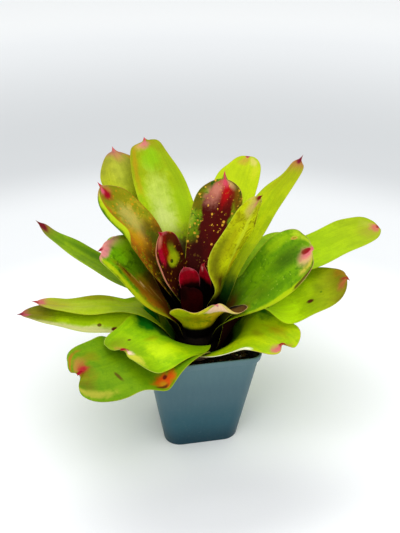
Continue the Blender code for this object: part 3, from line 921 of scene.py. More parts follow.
def model_leaf(order):
    leaf = LEAVES[order]
    bpy.ops.object.select_all(action="DESELECT")
    bpy.ops.mesh.primitive_grid_add(x_subdivisions=LEAF_COLUMNS, y_subdivisions=LEAF_ROWS, size=2.0)
    piece = bpy.context.object
    piece.name = leaf.name + "_fine"
    mesh = piece.data
    mesh.uv_layers[0].name = "leaf_map"
    grid = read_points(mesh)
    v = -np.sign(grid[:, 0]) * np.abs(grid[:, 0]) ** MARGIN_CROWDING
    s = 1.0 - (1.0 - (grid[:, 1] + 1) / 2) ** TIP_CROWDING
    corners = np.empty(len(mesh.loops), int)
    mesh.loops.foreach_get("vertex_index", corners)
    chart = np.stack([(1 - v) / 2, s], axis=-1)[corners]
    mesh.uv_layers[0].uv.foreach_set("vector", chart.astype(np.float32).ravel())
    place = leaf_surface(order, SHAPES[leaf.name], s, v) * MM
    write_points(mesh, place)
    normals = np.empty(len(mesh.vertices) * 3)
    mesh.vertices.foreach_get("normal", normals)
    normals = normals.reshape(-1, 3)
    flesh = piece.vertex_groups.new(name="flesh")
    fullness = 0.32 + 0.68 * (1 - np.abs(v) ** 2.5) * (1 - ease(0.93, 1.0, s))
    for index, amount in enumerate(fullness):
        flesh.add([index], float(amount), "REPLACE")
    solid = piece.modifiers.new("thickness", "SOLIDIFY")
    solid.thickness = LEAF_THICKNESS * MM
    solid.offset = 0.0
    solid.vertex_group = "flesh"
    bpy.ops.object.modifier_apply(modifier=solid.name)
    solid_points = read_points(piece.data)
    first_side = np.arange(len(solid_points)) < len(v)
    first_is_upper = ((solid_points[:len(v)] - place) * normals).sum() > 0
    store(piece, "underside", (first_side != first_is_upper).astype(np.float32))
    bpy.ops.object.shade_smooth_by_angle(angle=math.radians(50))
    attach(piece, "root")
    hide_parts(leaf.name)
    return piece


leaf_pieces = {leaf.name: model_leaf(order) for order, leaf in enumerate(LEAVES)}
print(len(leaf_pieces), "fine leaves,", sum(len(p.data.polygons) for p in leaf_pieces.values()), "faces")

# %% [markdown]
# The leaf's colours.
# The plant is grown for its colours, and no two leaves have the same. Old outer leaves are lime green with a pink
# end. The inner ones are oxblood near the cup, and the green breaks through it in flecks. Many have a pale waxy
# bloom, a brown spot or a scar. An image could be painted for each leaf, but numbers stay sharp at any distance. So
# one function builds the finish, and a table gives each leaf its own numbers. Colours that are used again and again
# are named first, as they show in the light, and one class turns them into what a shader takes.

# %% Named leaf colours
LEAF_SHARE = 0.95


def leaf_tint(red, green, blue):
    """The linear colour of a leaf that shows this display colour, 0 to 255, under the light boxes."""
    return tuple(LEAF_SHARE * (c / 255 / 12.92 if c <= 10 else ((c / 255 + 0.055) / 1.055) ** 2.4)
                 for c in (red, green, blue)) + (1.0,)


class LeafFinish(Finish):
    """A finish that takes its plain colours as they show."""

    def mix(self, share, first, second):
        return super().mix(share, *(c if isinstance(c, Wire) else leaf_tint(*c) for c in (first, second)))


LIME = (150, 188, 3)
YELLOW_LIME = (178, 200, 10)
MID_GREEN = (112, 155, 4)
LEAF_GREEN = (74, 116, 4)
DEEP_GREEN = (30, 80, 8)
OLIVE = (140, 118, 6)
GOLD = (190, 138, 12)
CREAM = (212, 205, 110)
BLOOM = (196, 212, 72)
BROWN = (84, 40, 4)
TAN = (200, 145, 66)
ORANGE = (215, 80, 6)
OXBLOOD = (90, 10, 4)
CRIMSON = (150, 8, 28)
ROSE = (205, 105, 105)
PALE_ROSE = (225, 178, 150)
# the two cup colours are near black: the sheaths' dark red tissue together with painted shade deep in the cup
RED_TISSUE_AND_SHADE = (40, 3, 3)
DARK_TISSUE_AND_SHADE = (4.16, 1.73, 1.39)
print("oxblood as a shader takes it:", [round(c, 4) for c in leaf_tint(*OXBLOOD)])

# %% [markdown]
# What a leaf's look holds.
# From the cup outward a leaf goes through the same zones: the dark cup, whose near black is dark tissue together
# with painted shade, a deep green neck, the blade and the end with its hard point. Over these lie the red that
# spreads from the cup, patches, flecks, dots and single marks. A look is the list of these, and what a leaf doesn't
# name keeps the plain green leaf's value.

# %% Look of a leaf
@dataclass
class Look:
    """The colours of one leaf. Places are shares of the length and of the half width, sizes are mm."""
    blade: tuple = LIME
    patch: tuple = MID_GREEN       # soft patches of another green
    patches: float = 0.5
    dapple: float = 0.35           # how strongly the fine mottling shows
    sides: tuple = ()              # colour, from which v and from which s, along both margins
    old: tuple = (150, 132, 12)    # what the green goes over into toward the end
    age: float = 0.0               # how far
    # cup and under_base default to near black: dark tissue together with painted shade in the cup
    cup: tuple = DARK_TISSUE_AND_SHADE          # the sheath's inner face, in the cup
    cup_end: float = 0.25          # where it has gone over into the neck
    neck: tuple = DEEP_GREEN       # the deep green between the cup and the blade
    neck_end: float = 0.36
    stain: tuple = OXBLOOD         # the red that spreads up from the cup
    stain_end: float = 0.0
    stain_top: tuple = OXBLOOD     # its colour where it ends
    flecks: float = 0.0            # how much of the stain the green breaks
    fleck: tuple = MID_GREEN
    dots: float = 0.0              # how thickly small round dots lie on it
    dot: tuple = GOLD
    specks: float = 0.0            # light and dark specks on the green
    tip: tuple = ROSE
    tip_length: float = 6.0
    point: tuple = CRIMSON
    point_length: float = 3.0
    rim: tuple = (178, 178, 34)    # the thin line along the margins
    under: tuple = YELLOW_LIME
    under_patch: tuple = MID_GREEN
    under_dapple: float = 0.35
    under_base: tuple = DARK_TISSUE_AND_SHADE   # the sheath's outer face
    under_base_end: float = 0.30
    marks: tuple = ()              # (s, v, half length, half width, colour, strength, raggedness)
    under_marks: tuple = ()
    gloss: float = 0.08


# %% [markdown]
# The leaf's finish.
# The zones are mixed one over the other, each with an edge that noise breaks up, because no edge on a leaf is
# straight. The noise is in three sizes: clouds, blotches and fine mottling, and long veins run along the blade. The
# leaf's map gives the share of length and width, and the stored underside picks the other face's colours.

# %% Finish of a leaf
FINE, MOTTLE, BLOTCH, CLOUD = 0.0005, 0.0015, 0.0036, 0.0085


def leaf_finish(order, look):
    leaf = LEAVES[order]
    half = leaf.width / 2
    f = LeafFinish(leaf.name + "_colours")
    chart = f.node("ShaderNodeUVMap", {"uv_map": "leaf_map"})["UV"]
    u, s, _ = f.split(chart)
    v = 1.0 - 2.0 * u
    under = f.node("ShaderNodeAttribute", {"attribute_name": "underside"})["Fac"].ease(0.4, 0.6)
    x, y = v * half, s * leaf.length
    vein = f.grain(0.9, 3.0, at=f.join(x + 40.0 * order, y * 0.045, 7.0 * order))
    broad_vein = f.grain(4.5, 2.0, at=f.join(x + 9.0 * order, y * 0.16, 3.0 * order))
    cloud = f.grain(CLOUD, 3.0, warp=0.6)
    blotch = f.grain(BLOTCH, 3.0, rough=0.6, warp=0.8)
    mottle = f.grain(MOTTLE, 3.0, rough=0.65, warp=0.5)
    fine = f.grain(FINE, 2.0)
    wobble = cloud - 0.5
    edge_noise = 0.9 * wobble + 0.8 * (blotch - 0.5) + 0.4 * (mottle - 0.5)

    def dappled(colour, other, amount):
        """The small-scale unevenness that every living leaf has."""
        colour = f.mix(blotch.ease(0.50, 0.66) * amount, colour, other)
        return f.mix(mottle.ease(0.54, 0.66) * amount * 0.8, colour, other)

    # Upper face: blade, margins, neck and cup, then the red that spreads from the cup and what breaks it.
    green = f.mix((cloud * 0.6 + broad_vein * 0.4).ease(0.40, 0.60) * look.patches, look.blade, look.patch)
    green = dappled(green, look.patch, look.dapple)
    if look.specks:
        dark_specks = (blotch * 0.5 + mottle * 0.5).ease(0.54, 0.62)
        green = f.mix(dark_specks * look.specks * 0.75, green, DEEP_GREEN)
        light_specks = f.dots(0.0042).ease(0.20, 0.10) * cloud.ease(0.40, 0.55)
        green = f.mix(light_specks * look.specks * 0.8, green, BLOOM)
    green = f.mix((s + 0.16 * wobble).ease(0.60, 0.97) * look.age, green, look.old)
    green = f.mix((s + 0.16 * wobble).ease(look.neck_end + 0.05, look.neck_end - 0.07), green, look.neck)
    if look.stain_end:
        reach = (s + 0.16 * edge_noise).ease(look.stain_end + 0.06, look.stain_end - 0.08)
        red = f.mix((s + 0.2 * edge_noise).ease(look.stain_end - 0.35, look.stain_end), look.stain, look.stain_top)
        red = f.scaled(red, 0.62 + 0.76 * blotch)
        if look.flecks:
            broken = (blotch * 0.55 + mottle * 0.25 + cloud * 0.20).ease(0.62 - 0.16 * look.flecks,
                                                                         0.66 - 0.16 * look.flecks)
            red = f.mix(broken * 0.9, red, f.mix(fine.ease(0.40, 0.60), look.fleck, DEEP_GREEN))
        green = f.mix(reach, green, red)
    if look.sides:
        side_colour, side_from, side_start = look.sides
        at_side = (abs(v) + 0.35 * edge_noise).ease(side_from - 0.06, side_from + 0.06)
        side_paint = dappled(f.mix(cloud.ease(0.45, 0.58) * 0.8, side_colour, MID_GREEN), DEEP_GREEN, 0.9)
        at_side = at_side * (s + 0.1 * wobble).ease(side_start - 0.06, side_start + 0.06)
        green = f.mix(at_side, green, side_paint)
    if look.dots:
        for size, radius in ((0.0046, 0.30), (0.0027, 0.24)):
            round_dots = f.dots(size).ease(radius, radius * 0.6) * blotch.ease(0.44, 0.52)
            green = f.mix(round_dots * look.dots, green, look.dot)
    # the cup: the sheath's dark tissue together with painted shade deep in the rosette
    cup_share = (s + 0.10 * wobble).ease(look.cup_end + 0.06, look.cup_end - 0.06)
    green = f.mix(cup_share, green, look.cup)

    # Lower face: the blade's back, and the sheath's outer face.
    back = f.mix(cloud.ease(0.42, 0.62) * 0.5, look.under, look.under_patch)
    back = dappled(back, look.under_patch, look.under_dapple)
    # the sheath's outer face: near black on inner leaves, dark tissue together with painted shade
    base_share = (s + 0.06 * wobble).ease(look.under_base_end + 0.05, look.under_base_end - 0.05)
    back = f.mix(base_share, back, look.under_base)

    def marked(colour, marks):
        for at_s, at_v, long, wide, paint, strength, ragged in marks:
            away = (((s - at_s) * (leaf.length / long)) ** 2 + ((v - at_v) * (half / wide)) ** 2) ** 0.5
            soft = ragged * ragged
            away = away + ragged * 1.5 * edge_noise
            colour = f.mix(away.ease(1.10 + 0.45 * soft, 0.85 - 0.8 * soft) * strength, colour, paint)
        return colour

    colour = f.mix(under, marked(green, look.marks), marked(back, look.under_marks))

    # The end: rose, then a dark hard point; a thin line round the margins, redder toward the end.
    end = (1.0 - s) * leaf.length
    ragged_end = end + 7.0 * edge_noise + 2.0 * (vein - 0.5)
    middle = abs(v).ease(1.0, 0.0)
    colour = f.mix(ragged_end.ease(look.tip_length * 1.4, look.tip_length * 0.3) * 0.92, colour, look.tip)
    colour = f.mix((end - look.point_length * 0.6 * middle).ease(look.point_length, look.point_length * 0.3),
                   colour, look.point)
    margin = (1.0 - abs(v)) * half
    rim_share = (margin + 0.8 * (mottle - 0.5)).ease(0.9, 0.2) * (1.0 - f.mix_value(under, cup_share, base_share))
    colour = f.mix(rim_share * 0.45, colour, f.mix(end.ease(24.0, 8.0), look.rim, look.tip))
    colour = f.scaled(colour, 0.84 + 0.32 * vein)
    colour = f.scaled(colour, 0.88 + 0.24 * fine)

    roughness = 0.42 + 0.16 * mottle + 0.10 * cloud + 0.08 * under
    height = 0.55 * vein + 0.25 * broad_vein + 0.20 * fine
    normal = f.bump(height, 0.00025)
    normal = f.bump(blotch, 0.00020, onto=normal)
    return f.surface(colour, roughness, normal, specular_ior_level=look.gloss)


# %% [markdown]
# Each leaf's own look.
# A leaf could be painted by hand with a brush. The table does the same in the same order: first the two greens,
# then the zones, then each spot, scar and bleached edge, and a few painted highlights and painted shades, as a
# soft-edged mark. Places are shares of length and half width, so a mark stays on its leaf when the leaf is moved.

# %% Looks of the leaves
LOOKS = {leaf.name: Look() for leaf in LEAVES}
for leaf in LEAVES:
    if leaf.name.startswith("outer"):
        LOOKS[leaf.name] = Look(under_base=PALE_ROSE, under_base_end=0.26)
LOOKS.update({
    "outer_leaf_1": Look(blade=(114, 152, 1), patch=(84, 128, 1), tip_length=3, tip=OLIVE, under_base=PALE_ROSE,
        cup_end=0.02, neck_end=0.22, neck=(74, 124, 2),
        marks=((0.93, 0, 9, 18, (126, 100, 6), 0.7, 0.8), (0.945, -0.32, 9, 9, (190, 120, 60), 0.6, 0.9),
            (0.955, -0.1, 8, 8, (176, 12, 44), 0.9, 0.8), (0.93, -0.8, 10, 3, (176, 100, 26), 0.7, 0.8),
            (0.92, 0.55, 5, 6, BROWN, 0.3, 0.9), (0.91, 0.78, 9, 4, (186, 170, 60), 0.6, 0.8),
            (0.5, 0.82, 8, 5, ORANGE, 1, 0.7), (0.52, 0.84, 3.4, 2.4, GOLD, 0.9, 0.8),
            (0.54, 0.9, 5, 1.4, BROWN, 0.95, 0.7), (0.47, 0.78, 2, 1.2, OXBLOOD, 0.9, 0.6),
            (0.72, 0.45, 1.4, 5, BROWN, 0.8, 0.7), (0.8, -0.35, 7, 7, OLIVE, 0.5, 1))),
    "outer_leaf_3": Look(blade=(180, 204, 2), patch=(134, 176, 2), tip_length=2, neck_end=0.34, cup_end=0.2,
        neck=(74, 116, 2), under_base=PALE_ROSE, dapple=0.5,
        marks=((0.6, 0.25, 15, 8, (126, 142, 4), 0.45, 1), (0.72, 0.5, 7, 5, (150, 110, 4), 0.6, 1),
            (0.6, 0.1, 5, 3, BROWN, 0.4, 1), (0.96, 0.3, 5, 9, (190, 90, 70), 0.8, 0.8),
            (0.955, -0.4, 7, 9, (206, 92, 108), 0.9, 0.8), (0.975, -0.05, 3, 5, CRIMSON, 0.95, 0.5),
            (0.5, -0.97, 10, 3, (250, 250, 225), 1, 0.4), (0.62, -0.97, 8, 5, (250, 250, 225), 1, 0.4),
            (0.44, 0.85, 12, 8, (20, 100, 10), 0.95, 0.6)),
        under_marks=((0.58, -0.9, 16, 7, (250, 250, 225), 1, 0.4),)),
    "outer_leaf_5": Look(blade=(154, 196, 1), patch=(112, 166, 2), tip_length=2, neck_end=0.24, cup_end=0.02,
        neck=(124, 184, 3), age=0.5, old=(110, 130, 4), tip=CREAM, under_base=PALE_ROSE,
        marks=((0.91, 0.62, 5, 9, (200, 196, 60), 0.8, 0.7), (0.955, 0.24, 6, 5, (238, 204, 176), 0.95, 0.6),
            (0.965, -0.3, 5, 9, (196, 132, 66), 0.8, 0.8), (0.965, 0.03, 5, 3.4, (176, 20, 60), 0.95, 0.5),
            (0.86, -0.5, 8, 10, (126, 146, 2), 0.7, 1), (0.73, -0.25, 1.3, 1.3, BROWN, 0.85, 0.5),
            (0.52, 0.05, 6, 3, OLIVE, 0.5, 1), (0.36, 0.2, 9, 12, (90, 150, 2), 0.5, 0.9),
            # the two deep green marks on this line are painted shade toward the cup
            (0.37, -0.55, 15, 13, (16, 100, 8), 1, 0.5), (0.24, -0.15, 9, 10, (8, 60, 6), 0.9, 0.6),
            (0.56, 0.45, 12, 9, (196, 224, 8), 0.7, 1))),
    "outer_leaf_6": Look(blade=(176, 208, 1), patch=(138, 182, 2), neck_end=0.12, cup_end=0.06, age=0.85,
        old=(112, 84, 8), neck=(64, 92, 2), stain=(80, 30, 4), stain_end=0.14, stain_top=(90, 60, 4), flecks=0.6,
        tip=(150, 100, 10), tip_length=4, under_base=(34, 3, 5),
        marks=((0.7, -0.36, 3, 2.3, BROWN, 1, 0.6), (0.56, 0.3, 1.4, 1.4, LEAF_GREEN, 0.8, 0.5),
            (0.78, -0.1, 1.2, 1.2, LEAF_GREEN, 0.8, 0.5), (0.955, -0.35, 7, 8, (176, 90, 50), 0.85, 0.8),
            (0.965, 0, 5, 5, CRIMSON, 0.8, 0.7), (0.95, 0.6, 6, 9, (150, 110, 14), 0.8, 0.8),
            # this mark is painted light, lifting the shade that the leaf above casts on this blade
            (0.46, -0.5, 20, 18, (196, 236, 6), 0.95, 0.5))),
    "outer_leaf_7": Look(blade=(174, 206, 2), patch=(130, 166, 2), cup_end=0.02, neck_end=0.16, neck=(110, 176, 3),
        rim=YELLOW_LIME, age=0.9, old=(98, 88, 10), tip=(176, 64, 84), tip_length=8, point=(110, 16, 36),
        point_length=4, under_base=PALE_ROSE,
        marks=((0.6, 0.96, 42, 6, (206, 200, 136), 0.85, 0.6), (0.41, 0.72, 2.6, 2, BROWN, 1, 0.5),
            (0.5, 0.55, 1.5, 1.2, BROWN, 0.85, 0.5), (0.88, 0, 12, 12, (120, 112, 10), 0.7, 0.9),
            (0.965, 0.3, 6, 6, (190, 76, 100), 0.9, 0.6), (0.985, -0.4, 3, 4, (110, 20, 40), 0.9, 0.6))),
    "middle_leaf_1": Look(blade=(184, 206, 6), patch=(150, 182, 4), cup_end=0.02, neck_end=0.14, neck=(80, 140, 3),
        age=0.4, old=(160, 150, 50), tip_length=10, point_length=4, under=(179, 193, 25), tip=(194, 98, 96),
        marks=((0.68, 0.1, 18, 8, (176, 190, 50), 0.6, 0.7), (0.87, 0, 14, 12, (166, 154, 48), 0.8, 0.9),
            (0.62, -0.85, 20, 4, OLIVE, 0.6, 0.9), (0.955, 0.1, 5, 7, (200, 96, 100), 0.8, 0.7),
            (0.985, -0.3, 3, 4, CRIMSON, 0.9, 0.5))),
    "middle_leaf_2": Look(blade=(170, 204, 1), patch=(142, 180, 2), patches=0.6, age=0.4, old=(146, 140, 20),
        tip=OLIVE, tip_length=3,
        marks=((0.93, -0.2, 9, 12, (160, 156, 40), 0.7, 0.9), (0.975, 0, 6, 13, (200, 100, 90), 0.9, 0.7),
            (0.94, 0.5, 6, 6, (176, 180, 60), 0.5, 0.8), (0.99, -0.1, 3, 4, CRIMSON, 0.9, 0.4))),
    "middle_leaf_4": Look(blade=(118, 166, 2), patch=(84, 132, 2), patches=0.9, dapple=0.5, specks=0.35, cup_end=0.14,
        neck_end=0.24, neck=(70, 84, 2), tip=(224, 140, 140), tip_length=3, point=ROSE,
        marks=((0.68, -0.93, 34, 3, (180, 204, 7), 0.85, 0.6), (0.93, -0.25, 9, 11, (218, 176, 118), 0.95, 0.7),
            (0.94, -0.08, 8, 6, (222, 110, 120), 0.95, 0.7), (0.935, 0.02, 5.6, 3, (150, 0, 30), 1, 0.4),
            (0.88, 0.62, 2.6, 1.8, TAN, 0.95, 0.4), (0.92, -0.6, 9, 5, (206, 190, 60), 0.8, 0.8),
            (0.88, 0.62, 1.3, 0.8, OLIVE, 0.9, 0.2), (0.8, 0.15, 14, 8, (50, 84, 2), 0.8, 1),
            (0.8, 0.75, 14, 5, (150, 184, 4), 0.7, 0.9), (0.94, 0.75, 7, 6, (184, 206, 40), 0.7, 0.8),
            (0.86, -0.97, 12, 3.2, (84, 76, 8), 0.95, 0.4), (0.34, -0.55, 9, 6, (110, 30, 5), 0.8, 1),
            (0.38, -0.62, 4, 3, (170, 170, 8), 0.8, 1), (0.34, 0.35, 12, 7, (24, 50, 2), 0.4, 1),
            (0.52, -0.3, 14, 7, (100, 122, 2), 0.5, 1), (0.26, 0.25, 9, 10, (104, 56, 6), 0.85, 1))),
    "middle_leaf_5": Look(blade=(134, 168, 6), patch=(100, 138, 5), patches=0.8, cup_end=0.1, neck_end=0.2,
        tip=(150, 110, 50), tip_length=17, point=(110, 12, 26), point_length=11, under=(150, 170, 12),
        under_patch=(120, 144, 5),
        marks=((0.55, 0.9, 40, 3.2, (156, 186, 20), 0.85, 0.6), (0.62, -0.55, 32, 5, (56, 104, 6), 0.6, 0.9))),
    "middle_leaf_6": Look(blade=(184, 206, 0), patch=(160, 190, 1), age=0.3, old=(170, 170, 10), tip_length=3,
        marks=((0.86, -0.7, 10, 3.5, (200, 204, 30), 0.6, 0.9), (0.95, 0.1, 6, 9, (190, 150, 50), 0.75, 0.9),
            (0.94, -0.6, 7, 5, (212, 200, 96), 0.8, 0.8), (0.985, 0, 3, 6, ROSE, 0.85, 0.6))),
    "middle_leaf_7": Look(blade=(126, 180, 5), patch=(86, 124, 3), patches=0.8, dapple=1, specks=0.55, cup_end=0.08,
        neck_end=0.16, neck=(60, 16, 3), stain=(116, 44, 4), stain_end=0.5, stain_top=(170, 112, 8), flecks=0.55,
        fleck=(150, 140, 5), tip=(228, 136, 136), tip_length=11, point=(150, 10, 40),
        marks=((0.58, 0.84, 36, 3, (186, 198, 12), 0.85, 0.7), (0.47, 0.08, 13, 9, (164, 118, 12), 0.8, 0.8),
            (0.32, 0, 13, 10, (150, 84, 8), 0.7, 0.9), (0.56, 0.22, 8, 0.6, TAN, 1, 0.3),
            (0.515, 0.1, 2.6, 1.5, (226, 184, 110), 1, 0.6), (0.47, 0.04, 8, 0.5, TAN, 1, 0.3),
            (0.37, -0.15, 9, 0.5, TAN, 0.9, 0.3), (0.6, 0.38, 16, 4, (150, 84, 6), 0.8, 0.9),
            (0.66, 0.32, 5, 1, OXBLOOD, 0.8, 0.5), (0.955, 0, 3.4, 3.4, (160, 20, 50), 0.9, 0.6),
            (0.91, 0.2, 6, 11, (236, 140, 146), 0.9, 0.7), (0.89, -0.55, 8, 6, (206, 184, 100), 0.8, 0.9),
            (0.7, -0.88, 16, 3, (140, 80, 5), 0.8, 0.9), (0.44, -0.6, 12, 6, (110, 60, 4), 0.6, 1),
            (0.6, -0.45, 12, 7, (76, 106, 2), 0.7, 1), (0.78, -0.5, 8, 7, (150, 190, 8), 0.7, 1),
            (0.8, -0.1, 8, 8, (124, 186, 4), 0.7, 0.9), (0.42, -0.55, 14, 6, (64, 30, 4), 0.5, 1),
            (0.34, 0.75, 14, 4, (124, 128, 6), 0.8, 0.8))),
    "middle_leaf_8": Look(blade=(184, 204, 0), patch=(152, 180, 1), patches=0.7, age=0.7, old=(140, 140, 5),
        neck_end=0.28, cup_end=0.18, tip=(172, 108, 60), tip_length=17, point=(120, 20, 44), point_length=7,
        marks=((0.86, 0.6, 22, 3, (150, 150, 5), 0.6, 0.9),)),
    "inner_leaf_1": Look(blade=(190, 202, 14), patch=(148, 170, 4), dapple=0.5, tip=(184, 108, 98), age=0.6,
        old=(150, 136, 60), tip_length=8, point=ROSE, stain_end=0.45, flecks=0.3,
        marks=((0.84, 0.25, 14, 7, (190, 196, 60), 0.6, 0.9), (0.88, -0.8, 22, 3, (190, 150, 20), 0.8, 0.8),
            (0.96, -0.1, 9, 12, (190, 140, 76), 0.75, 0.9), (0.66, -0.2, 12, 7, (150, 156, 4), 0.6, 0.9))),
    "inner_leaf_2": Look(blade=RED_TISSUE_AND_SHADE, patch=DARK_TISSUE_AND_SHADE, neck=DARK_TISSUE_AND_SHADE, neck_end=0.5, cup_end=0.4, tip=(220, 160, 140),
        tip_length=1.5, point=ROSE, point_length=2, rim=CREAM, under=(226, 208, 8), under_patch=(140, 156, 4),
        under_dapple=1, under_base_end=0.22,
        marks=((0.96, 0.3, 4, 12, (244, 200, 170), 0.95, 0.5), (0.8, 0.6, 16, 12, (96, 60, 8), 0.95, 0.7)),
        under_marks=((0.6, -0.65, 18, 9, (140, 166, 5), 0.7, 1), (0.6, 0.25, 9, 9, (252, 204, 40), 0.9, 0.9),
            (0.8, 0.1, 6, 11, (255, 214, 188), 0.95, 0.7), (0.46, -0.3, 8, 10, (150, 140, 3), 0.8, 1),
            (0.42, 0.5, 8, 9, (250, 206, 14), 0.85, 1), (0.9, 0.2, 6, 12, (250, 205, 176), 0.95, 0.5),
            (0.86, 0.75, 8, 6, (232, 206, 130), 0.9, 0.6), (0.93, 0.14, 2.4, 2, (190, 80, 130), 0.8, 0.7),
            (0.92, -0.5, 3, 8, (214, 206, 60), 0.8, 0.6))),
    "inner_leaf_3": Look(blade=(172, 198, 4), patch=(136, 172, 2), dapple=0.45, tip=(170, 120, 40), tip_length=3,
        point=(200, 80, 90), age=0.7, old=(134, 128, 6), cup_end=0.32, neck_end=0.4, neck=(44, 34, 3), stain_end=0.46,
        stain=(44, 20, 3), stain_top=(60, 50, 4), flecks=0.5,
        # the first two marks are a painted soft highlight, a pale sheen across the middle of the blade
        marks=((0.63, 0.1, 27, 11, (196, 212, 96), 0.7, 0.9), (0.56, 0.2, 12, 8, (206, 216, 130), 0.5, 1),
            (0.86, -0.05, 13, 12, (134, 184, 1), 0.85, 0.9), (0.76, -0.75, 30, 4, (136, 162, 3), 0.8, 0.9),
            (0.6, -0.6, 16, 5, (150, 184, 3), 0.7, 0.8), (0.82, 0.8, 22, 3, (176, 142, 10), 0.8, 0.9),
            (0.97, -0.2, 7, 14, (150, 138, 10), 0.75, 0.9), (0.95, 0.5, 6, 8, (196, 160, 76), 0.8, 0.9),
            (0.975, 0.2, 7, 11, (206, 112, 116), 0.9, 0.8))),
    "inner_leaf_4": Look(blade=OXBLOOD, patch=LEAF_GREEN, stain_end=0.8, flecks=0.4, under=(206, 216, 8),
        under_patch=(146, 142, 2), under_dapple=1, under_base_end=0.33, tip=(200, 176, 84), tip_length=9, rim=BLOOM,
        point=(120, 8, 11), point_length=5, gloss=0.05,
        under_marks=((0.52, -0.72, 30, 6, (104, 104, 3), 0.9, 1), (0.38, -0.4, 11, 9, (66, 30, 4), 0.95, 1),
            (0.36, 0.2, 10, 9, (60, 84, 3), 0.85, 0.9), (0.66, -0.35, 16, 4, (160, 156, 3), 0.7, 1),
            (0.7, 0.15, 34, 3, (214, 226, 40), 0.8, 0.7), (0.5, 0.35, 12, 3, (200, 170, 10), 0.7, 0.9),
            (0.8, 0.85, 8, 0.9, BROWN, 0.85, 0.5), (0.9, -0.1, 10, 8, (206, 176, 96), 0.85, 0.9),
            (0.955, 0.1, 7, 4, (214, 110, 110), 0.85, 0.8))),
    "inner_leaf_5": Look(blade=(168, 152, 24), patch=(122, 128, 6), patches=0.9, dapple=0.8, cup_end=0.28,
        neck_end=0.44, neck=(34, 38, 3), stain=(56, 40, 3), stain_end=0.62, stain_top=(150, 84, 5), flecks=0.6,
        fleck=(150, 130, 6), dots=0.9, tip_length=5, rim=(150, 80, 20), point=(190, 30, 60), under=(96, 136, 8),
        under_patch=(64, 106, 6), gloss=0.05,
        marks=((0.7, -0.2, 16, 8, (190, 176, 90), 0.6, 0.9), (0.92, -0.12, 9, 10, (152, 4, 26), 1, 0.7),
            (0.965, 0.15, 6, 7, (226, 90, 120), 0.9, 0.7), (0.7, 0.45, 26, 5, (172, 98, 10), 0.85, 0.8),
            (0.55, -0.55, 12, 8, (70, 78, 3), 0.95, 1), (0.6, 0.15, 12, 6, (206, 150, 10), 0.65, 1),
            (0.86, -0.6, 9, 7, (130, 126, 4), 0.8, 0.9), (0.94, -0.5, 6, 6, (176, 120, 44), 0.8, 0.9),
            (0.46, 0.2, 10, 8, (70, 50, 3), 0.7, 1)),
        under_marks=((0.72, 0.93, 26, 3, (180, 200, 20), 0.9, 0.6), (0.95, 0.6, 6, 10, (206, 150, 96), 0.8, 0.8))),
    "heart_leaf_1": Look(blade=RED_TISSUE_AND_SHADE, patch=DARK_TISSUE_AND_SHADE, neck=DARK_TISSUE_AND_SHADE, cup_end=0.5, under=(52, 3, 3),
        under_patch=(24, 1, 2), under_base_end=0.4, tip=(30, 2, 3), point=(30, 2, 3), rim=DARK_TISSUE_AND_SHADE, gloss=0.03,
        under_marks=((0.8, -0.6, 10, 5, (14, 1, 1), 0.8, 0.8),)),
    "inner_leaf_6": Look(blade=(110, 70, 8), patch=(64, 30, 4), cup_end=0.3, neck_end=0.4, neck=(50, 6, 4),
        stain=(74, 8, 4), stain_end=1.05, stain_top=(176, 30, 24), flecks=0.32, fleck=(150, 110, 8),
        sides=((104, 96, 5), 0.58, 0.52), dots=0.9, dot=(224, 170, 50), tip_length=4, under=(160, 126, 25),
        point=(210, 50, 80), gloss=0.04,
        marks=((0.86, 0.35, 13, 7, (206, 132, 110), 0.75, 0.9), (0.86, -0.16, 14, 3.8, (180, 8, 16), 0.85, 0.8),
            (0.965, -0.02, 8, 6, (212, 76, 96), 0.9, 0.8), (0.93, -0.55, 5, 5, (210, 176, 120), 0.7, 0.9),
            (0.4, 0.55, 20, 9, (50, 5, 3), 0.9, 0.8), (0.62, 0.94, 8, 3.4, (150, 176, 44), 0.7, 0.9),
            (0.8, -0.7, 16, 4, (110, 60, 5), 0.7, 1))),
    "heart_leaf_2": Look(blade=(139, 180, 11), patch=LEAF_GREEN, cup_end=0.38, neck_end=0.44, neck=(40, 8, 3),
        stain=(56, 16, 4), stain_end=1.1, stain_top=(150, 24, 10), flecks=0.3, fleck=(120, 90, 6), tip_length=4,
        rim=(60, 10, 6), dots=0.6, gloss=0.04,
        marks=((0.66, -0.32, 6, 6, (160, 176, 10), 0.95, 0.6), (0.655, -0.2, 1.5, 1.6, (20, 60, 5), 0.95, 0.5),
            (0.78, -0.45, 5, 3, (150, 180, 10), 0.8, 1), (0.82, 0.42, 10, 5, (180, 10, 44), 0.95, 0.7),
            (0.8, 0, 9, 4, (160, 8, 8), 0.8, 0.9), (0.7, 0.97, 26, 1.4, (222, 140, 110), 0.9, 0.5),
            (0.88, -0.6, 9, 6, (84, 34, 6), 0.85, 0.9), (0.93, 0.4, 5, 6, (214, 130, 100), 0.8, 0.9))),
    "heart_leaf_3": Look(blade=(184, 4, 34), patch=OXBLOOD, neck=DARK_TISSUE_AND_SHADE, neck_end=0.74, cup_end=0.66,
        tip=(150, 60, 54), tip_length=4, rim=(110, 16, 14), under=(150, 12, 14), under_patch=OXBLOOD,
        under_base_end=0.7, gloss=0.04,
        # this mark is a painted highlight, pink white near the top of the blade
        marks=((0.93, 0.2, 4, 4, (226, 150, 140), 0.85, 0.8),),
        under_marks=((0.86, -0.75, 8, 3, (220, 150, 120), 0.85, 0.8),)),
    "heart_leaf_4": Look(blade=(190, 6, 36), patch=OXBLOOD, neck=(40, 2, 2), neck_end=0.74, cup_end=0.66,
        tip=(206, 100, 110), tip_length=3, point=(150, 40, 50), rim=(190, 90, 96), under=(130, 8, 10),
        under_patch=OXBLOOD, under_base_end=0.66, gloss=0.04),
})
print(sum(len(look.marks) + len(look.under_marks) for look in LOOKS.values()), "marks in the looks")

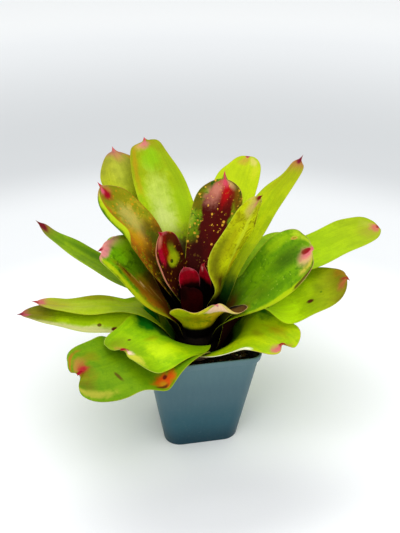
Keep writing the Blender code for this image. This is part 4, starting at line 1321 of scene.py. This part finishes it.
# %% [markdown]
# Painting the leaves.
# Each leaf gets a material of its own, since its numbers are its own. A table names the kinds of leaf, green outside,
# mottled round the cup and red in the heart, and each leaf's kind is looked up in it.

# %% Painting the leaves
LEAF_SLOTS = {"outer": "green_leaf", "middle": "green_leaf", "inner": "mottled_leaf", "heart": "red_leaf"}
for order, leaf in enumerate(LEAVES):
    set_material(leaf_pieces[leaf.name], leaf_finish(order, LOOKS[leaf.name]))
    kind = LEAF_SLOTS[leaf.name.split("_")[0]]
print(len(LOOKS), "leaf finishes")
